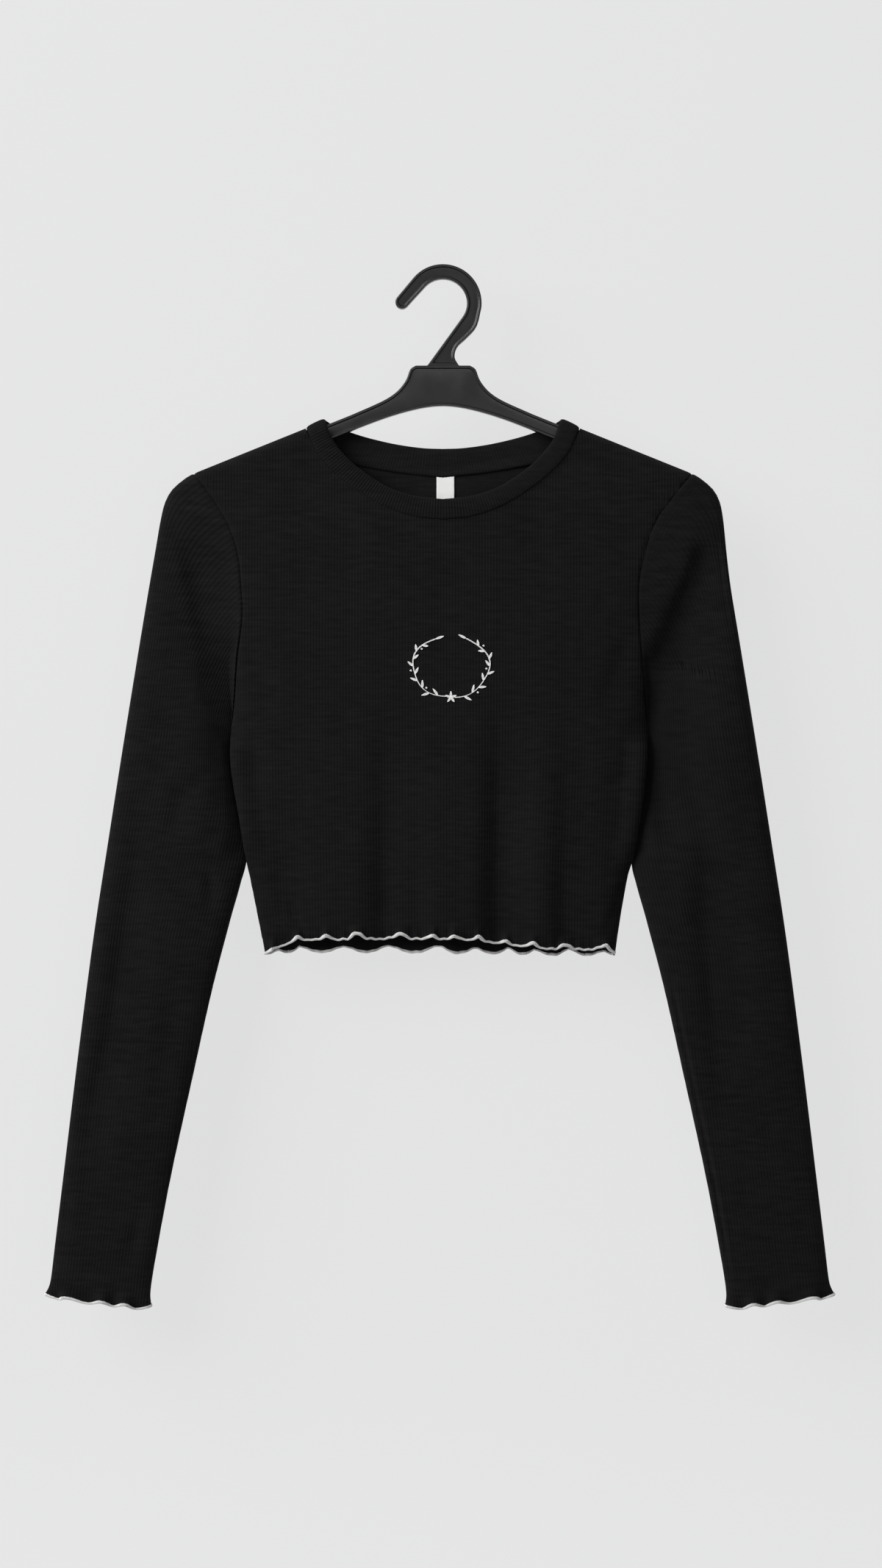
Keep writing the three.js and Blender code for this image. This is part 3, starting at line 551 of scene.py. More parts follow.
def mesh_object(name: str, points: Array, faces: Sequence[Sequence[int]],
                uv: Array | None = None, smooth: bool = True) -> bpy.types.Object:
    """Make an object of points in millimetres.

    Args:
        name: Name of the object and its mesh.
        points: Places of the points.
        faces: Corners of each face.
        uv: A place on the flat cloth for each point, in metres.
        smooth: Whether the faces are shaded smooth.

    Returns:
        The new object.
    """
    mesh = bpy.data.meshes.new(name)
    mesh.from_pydata((np.asarray(points) * MM).tolist(), [], [list(face) for face in faces])
    if uv is not None:
        corners = np.empty(len(mesh.loops), np.int32)
        mesh.loops.foreach_get("vertex_index", corners)
        layer = mesh.uv_layers.new(name="cloth")
        layer.data.foreach_set("uv", np.asarray(uv, np.float32)[corners].ravel())
    mesh.polygons.foreach_set("use_smooth", np.full(len(mesh.polygons), smooth))
    mesh.update()
    piece = bpy.data.objects.new(name, mesh)
    bpy.context.scene.collection.objects.link(piece)
    return piece


def face_outwards(piece: bpy.types.Object) -> None:
    """Turn all faces of a closed mesh to point outwards."""
    work = bmesh.new()
    work.from_mesh(piece.data)
    bmesh.ops.recalc_face_normals(work, faces=work.faces)
    work.to_mesh(piece.data)
    work.free()


def thread_bundle(paths: Array, guide: Array, radius: float, sides: int) -> tuple[Array, list]:
    """Make round threads along many paths of the same number of points.

    Args:
        paths: Points of each path.
        guide: A direction for each point that is never along its path.
        radius: Radius of the thread.
        sides: Number of sides of its section.

    Returns:
        The points and the faces of all the threads.
    """
    along = unit(np.gradient(paths, axis=1))
    guide = np.broadcast_to(guide, paths.shape)
    sideways = unit(np.cross(along, guide))
    upwards = np.cross(sideways, along)
    turn = np.arange(sides) * 2 * np.pi / sides
    ring = (np.cos(turn)[:, None] * sideways[:, :, None, :]
            + np.sin(turn)[:, None] * upwards[:, :, None, :])
    points = paths[:, :, None, :] + radius * ring
    index = np.arange(points[..., 0].size).reshape(points.shape[:3])
    faces = []
    for thread in index:
        faces.extend(grid_quads(thread, closed=True).tolist())
        faces.append(thread[0].tolist())
        faces.append(thread[-1][::-1].tolist())
    return points.reshape(-1, 3), faces


@dataclass(frozen=True)
class Knit:
    """The fine rib that the cloth is knitted in."""

    pitch: float = 2.2
    height: float = 0.2
    wale_share: float = 0.75
    furrow_share: float = 1.25
    columns: int = 4
    wall: float = 1.2
    inner_share: float = 0.4
    inner_row_step: int = 3

    def step(self) -> float:
        """Distance between two columns of points."""
        return self.pitch / self.columns

    def relief(self, columns: Array) -> Array:
        """Rise of the rib at each numbered column: a rounded wale between narrow furrows."""
        phase = np.asarray(columns) * (2 * np.pi / self.columns)
        share = np.where(np.cos(phase) < 0, self.furrow_share, self.wale_share)
        return self.height * np.cos(phase) * share

    def thickness(self, relief: Array) -> Array:
        """How far the inner face lies from the middle of the outer one."""
        return self.wall - self.inner_share * relief


def close_sheet(name: str, outer: Array, inner: Array, outer_index: Array, inner_index: Array,
                uv: Array, closed: bool) -> bpy.types.Object:
    """Close an outer and an inner face of cloth into one thin wall.

    Args:
        name: Name of the piece.
        outer: Points of the outer face.
        inner: Points of the inner face.
        outer_index: Rows of point numbers of the outer face.
        inner_index: Rows of point numbers of the inner face, from 0.
        uv: Place of each point on the flat cloth.
        closed: Whether the rows run all round, as on a sleeve.

    Returns:
        The piece.
    """
    into = inner_index + len(outer)
    quads = grid_quads(outer_index, closed)
    inside = grid_quads(into, closed)[:, ::-1]
    faces = without_doubles(np.concatenate([quads, inside]).tolist())

    def rim(row: Array) -> list[int]:
        """List an edge's points, back to the first where the rows run all round."""
        numbers = row.tolist()
        return numbers + numbers[:1] if closed else numbers

    faces += without_doubles(lace(rim(into[0]), rim(outer_index[0])))
    faces += without_doubles(lace(rim(outer_index[-1]), rim(into[-1])))
    if not closed:
        faces += without_doubles(lace(outer_index[:, 0].tolist(), into[:, 0].tolist()))
        faces += without_doubles(lace(into[:, -1].tolist(), outer_index[:, -1].tolist()))
    points = np.concatenate([outer, inner])
    piece = mesh_object(name, points, faces, uv)
    face_outwards(piece)
    return piece


def merge_clamped(rows: Array, clamped: Array) -> Array:
    """Number a grid's points so that clamped neighbours share one number.

    Args:
        rows: The grid of points.
        clamped: True where a point lies on the same edge as the one before it.

    Returns:
        The grid of point numbers.
    """
    index = np.arange(rows.shape[0] * rows.shape[1]).reshape(rows.shape[:2])
    for column in range(1, rows.shape[1]):
        same = clamped[:, column] & clamped[:, column - 1]
        index[:, column] = np.where(same, index[:, column - 1], index[:, column])
    return index


def inner_steps(rows: int, step: int) -> Array:
    """Choose every so many rows of a sheet, with its first and last."""
    chosen = list(range(0, rows - 1, step))
    return np.array(chosen + [rows - 1])


@dataclass
class KnittedSheet:
    """Cloth as rows of points, with what its wall needs."""

    rows: Array
    clamped: Array
    uv: Array
    relief: Array
    closed: bool

    def normals(self, middle: int) -> Array:
        """Find the way out of the cloth at each point.

        Args:
            middle: The column by whose side of the garment the way out is told.

        Returns:
            A unit vector for each point.
        """
        index = merge_clamped(self.rows, self.clamped)
        quads = grid_quads(index, self.closed)
        normals = corner_normals(self.rows.reshape(-1, 3), quads).reshape(self.rows.shape)
        if self.closed:
            outwards = self.rows - self.rows.mean(axis=1, keepdims=True)
            turned = (normals * outwards).sum() < 0
        else:
            turned = (normals[:, middle, 1] * self.rows[:, middle, 1]).sum() < 0
        return -normals if turned else normals

    def wall(self, name: str, normals: Array, pairs: Array, knit: Knit) -> bpy.types.Object:
        """Give the cloth its ribs and its thickness.

        Args:
            name: Name of the piece.
            normals: The way out at each point.
            pairs: The columns that the plainer inner face keeps.
            knit: The rib that it is knitted in.

        Returns:
            The piece as a thin closed wall.
        """
        outer = self.rows + normals * self.relief[..., None]
        inner = self.rows - normals * knit.thickness(self.relief)[..., None]
        chosen = inner_steps(len(self.rows), knit.inner_row_step)
        inner = inner[chosen][:, pairs]
        inner_index = merge_clamped(inner, self.clamped[chosen][:, pairs])
        inner_uv = self.uv[chosen][:, pairs]
        uv = np.concatenate([self.uv.reshape(-1, 2), inner_uv.reshape(-1, 2)])
        return close_sheet(name, outer.reshape(-1, 3), inner.reshape(-1, 3),
                           merge_clamped(self.rows, self.clamped), inner_index, uv, self.closed)


@dataclass
class EdgeFrame:
    """An edge of the cloth: its points, the way up into the cloth, and the way out of it."""

    points: Array
    up: Array
    out: Array
    closed: bool

    def every(self, step: float) -> tuple[Array, Array, Array, Array]:
        """Walk along the edge in even steps.

        Args:
            step: Length of a step.

        Returns:
            The points, the way along, the way up and the way out at each step.
        """
        rows = [self.points, self.up, self.out]
        if self.closed:
            rows = [np.concatenate([row, row[:1]]) for row in rows]
        points, up, out = rows
        travel = travelled(points)
        count = max(int(travel[-1] / step), 4)
        places = np.linspace(0, travel[-1], count, endpoint=not self.closed)
        points, up, out = [walked(places, travel, values) for values in (points, up, out)]
        return points, unit(np.gradient(points, axis=0)), unit(up), unit(out)


@dataclass
class BodyPanel:
    """The front or the back of the body: one piece of rib with a ruffled hem."""

    face: Face
    pattern: BodyPattern
    knit: Knit
    ridge_rows: int = 7
    upper_rows: int = 31
    lower_rows: int = 25
    band_rows: int = 9
    ridge_reach: float = 1.15
    wave_growth: float = 1.6
    seam_groove: float = 0.5
    seam_flat: float = 2.5
    seam_width: float = 1.8
    edge_ribs: tuple[float, float] = (0.4, 0.5)
    settling_steps: int = 40
    measured_places: int = 1601
    edge: EdgeFrame | None = None

    def height(self, level: tuple[str, float], x: Array) -> Array:
        """Height of a row of the panel above its places across, before the hem's waves."""
        part, share = level
        cut = self.pattern
        band_top = rule_from(HEM_LINE[self.face], 1).at(x) + cut.band
        if part == "upper":
            return blend(cut.top_height(self.face, x), cut.underarm_z, share)
        if part == "lower":
            return blend(cut.underarm_z, band_top, share)
        return band_top - cut.band * share

    def levels(self) -> list[tuple[str, float]]:
        """List the rows from the shoulder to the hem, closer together where it bends."""
        cut = self.pattern
        reach = self.ridge_reach * cut.fold_radius / (cut.neck_z - cut.underarm_z)
        ridge = reach * (1 - np.cos(np.linspace(0, math.pi / 2, self.ridge_rows)))
        upper = np.linspace(ridge[-1], 1, self.upper_rows)[1:]
        lower = np.linspace(0, 1, self.lower_rows)[1:]
        band = np.linspace(0, 1, self.band_rows)[1:]
        rows = [("upper", share) for share in np.concatenate([ridge, upper])]
        rows += [("lower", share) for share in lower]
        return rows + [("band", share) for share in band]

    def side_edge(self, level: tuple[str, float], sign: int) -> float:
        """Find where a row reaches the armhole or side seam on one side."""
        x = np.array([sign * self.pattern.tip_x])
        for _ in range(self.settling_steps):
            x = sign * self.pattern.half_width(x, self.height(level, x))
        return float(x[0])

    def place(self, level: tuple[str, float], x: Array) -> Array:
        """Lay a row's points on the body.

        Args:
            level: The row.
            x: Places across it.

        Returns:
            The points of the outer face, before the ribs are raised.
        """
        cut = self.pattern
        z = self.height(level, x)
        if level[0] == "upper":
            return np.stack([x, cut.lie(self.face, x, z), z], axis=1)
        out = cut.depth(self.face, x, z)
        if level[0] == "band":
            swing, lift = cut.hem_wave(self.face, x)
            across = np.abs(x) / cut.half_width(x, z)
            grown = level[1] ** self.wave_growth * np.clip((1 - across) / cut.side_fade, 0, 1)
            out = out + grown * cut.wave_depth * swing
            z = z + grown * lift * (swing + 1) / 2
        y = self.face.value * (out + cut.seam_gap / 2) - cut.forward(x, z)
        return np.stack([x, y, z], axis=1)

    def travel(self, level: tuple[str, float]) -> tuple[Array, Array]:
        """Measure a row's cloth from the middle outwards.

        Args:
            level: The row.

        Returns:
            Places across the row, and how much cloth lies between each and the middle.
        """
        left, right = self.side_edge(level, -1), self.side_edge(level, 1)
        spread = np.sin(np.linspace(-math.pi / 2, math.pi / 2, self.measured_places))
        x = (left + right) / 2 + spread * (right - left) / 2
        points = self.place(level, x)
        steps = np.hypot(np.diff(points[:, 0]), np.diff(points[:, 1]))
        cloth = np.concatenate([[0], np.cumsum(steps)])
        return x, cloth - np.interp(0, x, cloth)

    def build(self) -> bpy.types.Object:
        """Knit the panel.

        Returns:
            The panel as a thin closed wall.
        """
        levels = self.levels()
        tables = [self.travel(level) for level in levels]
        band_top = next(i for i, level in enumerate(levels) if level[0] == "band") - 1
        for i in range(band_top + 1, len(levels)):
            tables[i] = (tables[i][0], np.interp(tables[i][0], *tables[band_top]))
        widest = max(np.abs(cloth).max() for _, cloth in tables)
        half = math.ceil(widest / self.knit.step()) + 1
        columns = np.arange(-half, half + 1)
        grain = columns * self.knit.step()
        rows, clamped, uv, inset = [], [], [], []
        for level, (x, cloth) in zip(levels, tables):
            points = self.place(level, np.interp(grain, cloth, x))
            rows.append(points)
            clamped.append((grain <= cloth[0]) | (grain >= cloth[-1]))
            inset.append(np.clip(np.minimum(grain - cloth[0], cloth[-1] - grain), 0, None))
            kept = np.clip(grain, cloth[0], cloth[-1])
            uv.append(np.stack([kept * MM, -points[:, 2] * MM], axis=1))
        rows, clamped, inset = np.array(rows), np.array(clamped), np.array(inset)
        strength = np.ones(len(levels))
        strength[0], strength[-1] = self.edge_ribs
        ribs = self.knit.relief(columns) * strength[:, None] * smoothstep(inset, 0, self.seam_flat)
        relief = ribs - self.seam_groove * smoothstep(-inset, -self.seam_width, 0)
        sheet = KnittedSheet(rows, clamped, np.array(uv), relief, False)
        normals = self.true_edges(levels, rows, clamped, sheet.normals(half))
        self.keep_edge(rows, clamped, normals)
        pairs = np.arange(half % 2, len(columns), 2)
        pairs = np.unique(np.concatenate([[0], pairs, [len(columns) - 1]]))
        return sheet.wall(f"{self.face.name.lower()}_panel", normals, pairs, self.knit)

    def true_edges(self, levels: list, rows: Array, clamped: Array, normals: Array) -> Array:
        """Point the wall's edges straight out at the shoulder and side seams."""
        normals = normals.copy()
        lower = np.array([level[0] != "upper" or level[1] == 1 for level in levels])
        level_edge = clamped & lower[:, None]
        level_edge[0] |= np.abs(rows[0, :, 0]) >= self.pattern.neck_x - TOUCH
        normals[level_edge, 1] = 0
        return unit(normals)

    def keep_edge(self, rows: Array, clamped: Array, normals: Array) -> None:
        """Remember the hem for the thread that wraps it."""
        free = ~clamped[-1]
        points = rows[-1][free]
        self.edge = EdgeFrame(points, unit(rows[-3][free] - points), normals[-2][free], False)


@dataclass
class Sleeve:
    """One long set-in sleeve, from its armhole seam to its ruffled cuff."""

    side: Side
    pattern: BodyPattern
    knit: Knit
    grain_half: float = 112.0
    outer_shift: float = 0.0
    inner_shift: float = 0.0
    shift_start: tuple[float, float] = (-240.0, -146.0)
    beside_body: tuple[float, float] = (-452.0, -426.0)
    clearance: float = 0.9
    lap_gap: float = 0.6
    squareness: int = 6
    fullness: float = 0.4
    straight_from: tuple[float, float] = (0.02, 0.3)
    lap_start: float = 0.8
    crease_start: float = 1.6
    allowance: float = 3.0
    tuck: float = 2.1
    tuck_top: tuple[float, float] = (-175.0, -146.0)
    seam_groove: float = 0.5
    waves: int = 8
    wave_depth: float = 3.0
    wave_growth: float = 2.2
    sideways: float = 0.12
    lift: float = 3.0
    measured_places: int = 601
    steps: tuple[int, ...] = (5, 2, 2, 3, 4, 6, 8, 9, 9, 9, 10, 10, 8, 9)
    edge_ribs: tuple[float, float, float] = (0.0, 0.4, 0.5)
    edge: EdgeFrame | None = None

    def outline(self, level: float, share: Array) -> tuple[Array, Array, float, float]:
        """Find a section's places on the flat, before the cap's ribs are drawn straight.

        Args:
            level: How far down the sleeve, counted in tabled sections.
            share: Places from the outer fold, 0, to the underarm, 1.

        Returns:
            X and Z of the places, the section's depth and how much of the armhole is left.
        """
        places = range(len(SLEEVE_SECTIONS))
        columns = [Rule(places, [row[k] for row in SLEEVE_SECTIONS]) for k in range(6)]
        out_x, out_z, in_x, in_z, deep, armhole = [float(rule.at(level)) for rule in columns]
        cut = self.pattern
        sign = self.side.value
        grown = 1 - float(smoothstep(out_z, *self.shift_start))
        near = float(cut.half_width(sign, in_z)) + self.clearance
        near -= (cut.overlap_width + self.clearance) * float(cut.beside_sleeve(in_z))
        beside = float(smoothstep(in_z, *self.beside_body))
        out_x += self.outer_shift * grown
        in_x = blend(in_x + self.inner_shift, near, beside)
        seam_z = blend(cut.tip_z, cut.underarm_z, share)
        seam_x = cut.half_width(np.full_like(share, sign), seam_z)
        chord_x = blend(cut.tip_x, float(cut.half_width(sign, cut.underarm_z)), share)
        x = sign * (blend(out_x, in_x, share) + armhole * (seam_x - chord_x))
        return x, blend(out_z, in_z, share), deep, armhole

    def section(self, level: float, face: Face, share: Array) -> Array:
        """Lay one side of a section.

        Args:
            level: How far down the sleeve, counted in tabled sections.
            face: The front or the back of the sleeve.
            share: Places from the outer fold, 0, to the underarm, 1.

        Returns:
            The points of the outer face.
        """
        cut = self.pattern
        x, z, deep, armhole = self.outline(level, share)
        last = len(CAP_PROGRESS) - 1
        if level < last:
            progress = float(Rule(range(last + 1), CAP_PROGRESS).at(level))
            seam_x, seam_z = self.outline(0, share)[:2]
            low_x, low_z = self.outline(last, share)[:2]
            straight = smoothstep(share, *self.straight_from)
            x = blend(x, blend(seam_x, low_x, progress), straight)
            z = blend(z, blend(seam_z, low_z, progress), straight)
        edge_z = blend(cut.tip_z, cut.underarm_z, share)
        sign = self.side.value
        edge_x = cut.half_width(np.full_like(share, sign), edge_z)
        seam_y = cut.lie(face, sign * edge_x, edge_z)
        round_off = (1 - np.abs(2 * share - 1) ** self.squareness) ** self.fullness
        full = face.value * deep * round_off
        pressed = sum(crease.press(x, z) for crease in SLEEVE_CREASES[self.side, face])
        off_edges = np.clip(16 * share * (1 - share), 0, 1)
        pressed = pressed * off_edges * smoothstep(level, 0, self.crease_start)
        out = face.value * blend(full, seam_y, armhole)
        y = face.value * np.maximum(out - pressed, np.minimum(out, 0))
        behind = cut.beside_sleeve(z) * smoothstep(share, self.lap_start, 1)
        y = y + (cut.overlap_depth + self.lap_gap) * behind
        return np.stack([x, y, z], axis=1)

    def ring(self, level: float, columns: int) -> tuple[Array, Array, Array]:
        """Lay one ring of the sleeve with its columns on the grain.

        Args:
            level: How far down the sleeve, counted in tabled sections.
            columns: Number of columns from the outer fold to the underarm.

        Returns:
            The ring's points, which of them lie on the inner seam, and their grain places.
        """
        share = 0.5 - 0.5 * np.cos(np.linspace(0, math.pi, self.measured_places))
        grain = np.arange(columns + 1) * self.knit.step()
        halves = []
        for face in (Face.FRONT, Face.BACK):
            dense = self.section(max(level, 0), face, share)
            cloth = travelled(dense)
            stretch = max(cloth[-1] / self.grain_half, 1)
            wanted = np.minimum(grain * stretch, cloth[-1])
            points = walked(wanted, cloth, dense)
            turn = wanted / cloth[-1] / 2
            turn = turn if face is Face.FRONT else 1 - turn
            on_seam = grain * stretch >= cloth[-1] - 1e-6
            halves.append((points, on_seam, np.minimum(grain, cloth[-1]), turn))
        front, back = halves
        points, on_seam, kept, turn = [np.concatenate([one, other[-2:0:-1]])
                                       for one, other in zip(front, back)]
        if level < 0:
            points = self.tucked(points)
        return self.ruffled(level, points, turn), on_seam, kept

    def tucked(self, points: Array) -> Array:
        """Turn the seam allowance in under the body's armhole edge."""
        points = points.copy()
        points[:, 0] -= self.side.value * self.allowance
        points[:, 1] -= np.sign(points[:, 1]) * np.minimum(np.abs(points[:, 1]), self.tuck)
        points[:, 2] -= self.allowance / 2 * smoothstep(points[:, 2], *self.tuck_top)
        return points

    def ruffled(self, level: float, points: Array, turn: Array) -> Array:
        """Swing the cuff's edge in and out in its waves."""
        last = len(SLEEVE_SECTIONS) - 2
        if level <= last:
            return points
        grown = (level - last) ** self.wave_growth
        # No two waves round a cuff are alike in height or in width.
        uneven = 1 + 0.25 * np.sin(2 * np.pi * (3 * turn + 0.2)) + 0.15 * np.sin(10 * np.pi * turn)
        swing = np.cos(2 * np.pi * (self.waves * turn + 0.12 * np.sin(6 * np.pi * turn)))
        outwards = points - points.mean(axis=0)
        outwards[:, 0] *= self.sideways
        outwards[:, 2] = 0
        points = points + unit(outwards) * (self.wave_depth * grown * uneven * swing)[:, None]
        points[:, 2] += self.lift * grown * (swing + 1) / 2
        return points

    def levels(self) -> Array:
        """List the rings, closer together at the armhole, the cap and the cuff."""
        rows = [np.linspace(i, i + 1, count, endpoint=False) for i, count in enumerate(self.steps)]
        return np.concatenate([[-1.0]] + rows + [[len(self.steps)]])

    def build(self) -> bpy.types.Object:
        """Knit the sleeve.

        Returns:
            The sleeve as a thin closed wall, open at the armhole and at the cuff.
        """
        columns = math.ceil(self.grain_half / self.knit.step())
        levels = self.levels()
        rings = [self.ring(level, columns) for level in levels]
        rows, clamped, kept = [np.array(values) for values in zip(*rings)]
        number = np.concatenate([np.arange(columns + 1), np.arange(columns - 1, 0, -1)])
        strength = np.ones(len(levels))
        strength[0], strength[1], strength[-1] = self.edge_ribs
        relief = self.knit.relief(number) * (1 - clamped) * strength[:, None]
        relief[1] -= self.seam_groove
        down = np.broadcast_to(-rows[:, :1, 2], kept.shape)
        mirror = np.concatenate([np.ones(columns + 1), -np.ones(columns - 1)])
        uv = np.stack([kept * mirror * MM, down * MM], axis=-1)
        sheet = KnittedSheet(rows, clamped, uv, relief, True)
        normals = sheet.normals(0)
        self.edge = EdgeFrame(rows[-1], unit(rows[-4] - rows[-1]), normals[-2], True)
        pairs = np.arange(0, rows.shape[1], 2)
        return sheet.wall(f"sleeve_{self.side.name.lower()}_knit", normals, pairs, self.knit)


@dataclass
class Neckband:
    """A doubled strip of rib joined into a ring round the neck."""

    pattern: BodyPattern
    edge_half: float = 88.3
    edge_z: float = -104.6
    forward: float = 2 / 60
    backward: float = 1 / 21
    gap: float = 0.5
    wall: float = 1.6
    width: float = 16.0
    pitch: float = 2.1
    rib: float = 0.3
    measured_places: int = 700

    def profile(self) -> Line:
        """List the section: share of the way from seam to free edge, and rise off the line."""
        outside = ((-0.16, -1.85), (-0.01, -1.5), (0.0, -0.6), (0.04, 0.15), (0.12, 0.6),
                   (0.3, 0.85), (0.5, 0.9), (0.7, 0.85), (0.87, 0.6), (0.97, 0.1))
        inside = ((1.0, -0.75), (0.96, -1.6), (0.7, -2.0), (0.3, -2.0), (0.1, -2.3),
                  (0.02, -3.2), (-0.1, -3.4), (-0.17, -2.9))
        return outside + inside

    def half_ring(self, face: Face) -> tuple[Array, Array]:
        """Lay half of the band from shoulder to shoulder.

        Args:
            face: The front or the back.

        Returns:
            The seam's points and the free edge's points, four to each rib.
        """
        cut = self.pattern
        share = np.linspace(-1, 1, self.measured_places)
        x = share * cut.neck_x
        y = face.value * (cut.top_depth(face, x) + cut.seam_gap / 2)
        y[[0, -1]] = 0
        seam = np.stack([x, y, cut.top_height(face, x)], axis=1)
        edge_x = share * self.edge_half
        edge_z = rule_from(NECK_TOP[face], 1).at(np.abs(edge_x))
        drop = self.edge_z - edge_z
        lean = self.forward if face is Face.FRONT else self.backward
        edge_y = face.value * (cut.fold_radius * cut.over_ridge(drop) + lean * drop)
        edge_y[[0, -1]] = 0
        edge = np.stack([edge_x, edge_y, edge_z], axis=1)
        travel = travelled((seam + edge) / 2)
        wanted = np.linspace(0, travel[-1], 4 * round(travel[-1] / self.pitch) + 1)
        return walked(wanted, travel, seam), walked(wanted, travel, edge)

    def build(self) -> bpy.types.Object:
        """Make the band.

        Returns:
            The band as a closed ring with its ribs across it.
        """
        front, back = self.half_ring(Face.FRONT), self.half_ring(Face.BACK)
        seam, edge = [np.concatenate([one[:-1], other[::-1][:-1]])
                      for one, other in zip(front, back)]
        along = unit(np.roll(seam + edge, -1, axis=0) - np.roll(seam + edge, 1, axis=0))
        seam = seam + unit(edge - seam) * self.gap
        out = unit(np.cross(along, edge - seam))
        out = np.where((out[:, 1] * seam[:, 1]).sum() < 0, -out, out)
        number = np.arange(len(seam))
        ribs = np.cos(number * math.pi / 2) * self.rib
        rows, uv = [], []
        travel = np.cumsum(np.linalg.norm(np.roll(seam, -1, axis=0) - seam, axis=1))
        for share, rise in self.profile():
            raised = rise + ribs * (1.0 if rise > self.rib else 0.5)
            rows.append(blend(seam, edge, share) + out * raised[:, None])
            uv.append(np.stack([travel * MM, np.full(len(seam), self.width * share * MM)], axis=1))
        rows, uv = np.array(rows), np.array(uv)
        index = np.arange(rows.shape[0] * rows.shape[1]).reshape(rows.shape[:2])
        quads = grid_quads(np.concatenate([index, index[:1]]), closed=True)
        piece = mesh_object("neckband_rib", rows.reshape(-1, 3), quads.tolist(), uv.reshape(-1, 2))
        face_outwards(piece)
        return piece


@dataclass(frozen=True)
class EdgeThread:
    """White overlock thread wrapped round a ruffled edge, with its looper along the top."""

    step: float = 0.56
    reach: float = 1.3
    radius: float = 0.25
    slant: float = 0.55
    wall: float = 1.2
    stand: float = 0.4
    uneven_reach: float = 0.05
    uneven_stand: float = 0.12
    looper_radius: float = 0.22
    looper_swing: float = 0.22
    looper_stand: float = 1.25

    def build(self, name: str, edge: EdgeFrame, seed: int) -> bpy.types.Object:
        """Sew the thread.

        Args:
            name: Name of the piece.
            edge: The edge that it wraps.
            seed: Seed of the small unevenness of a domestic seam.

        Returns:
            The thread as one piece.
        """
        chance = np.random.default_rng(seed)
        points, along, up, out = edge.every(self.step)
        count = len(points)
        reach = self.reach * (1 + chance.normal(0, self.uneven_reach, count))
        stand = self.stand * (1 + chance.normal(0, self.uneven_stand, count))
        behind = np.full(count, -self.wall - self.stand)
        foot = np.full(count, -0.24 * self.reach)
        stitch = ((reach, stand, 0.0), (0.5 * reach, 1.3 * stand, 0.35), (0 * reach, stand, 0.6),
                  (foot, -0.9 * stand, 0.7), (0 * reach, behind, 0.8),
                  (0.55 * reach, behind, 0.9), (reach, behind, 1.0))
        paths = []
        for height, stands, shift in stitch:
            sideways = self.slant * (shift - 0.5)
            paths.append(points + up * height[:, None] + out * stands[:, None] + along * sideways)
        paths = np.stack(paths, axis=1)
        verts, faces = thread_bundle(paths, along[:, None, :], self.radius, 4)
        zigzag = np.where(np.arange(count) % 2 == 0, self.looper_swing, -self.looper_swing)
        top = points + up * (reach + zigzag)[:, None] + out * (self.looper_stand * self.stand)
        looper, looper_faces = thread_bundle(top[None], out[None], self.looper_radius, 5)
        shifted = [[corner + len(verts) for corner in face] for face in looper_faces]
        piece = mesh_object(name, np.concatenate([verts, looper]), faces + shifted)
        face_outwards(piece)
        return piece


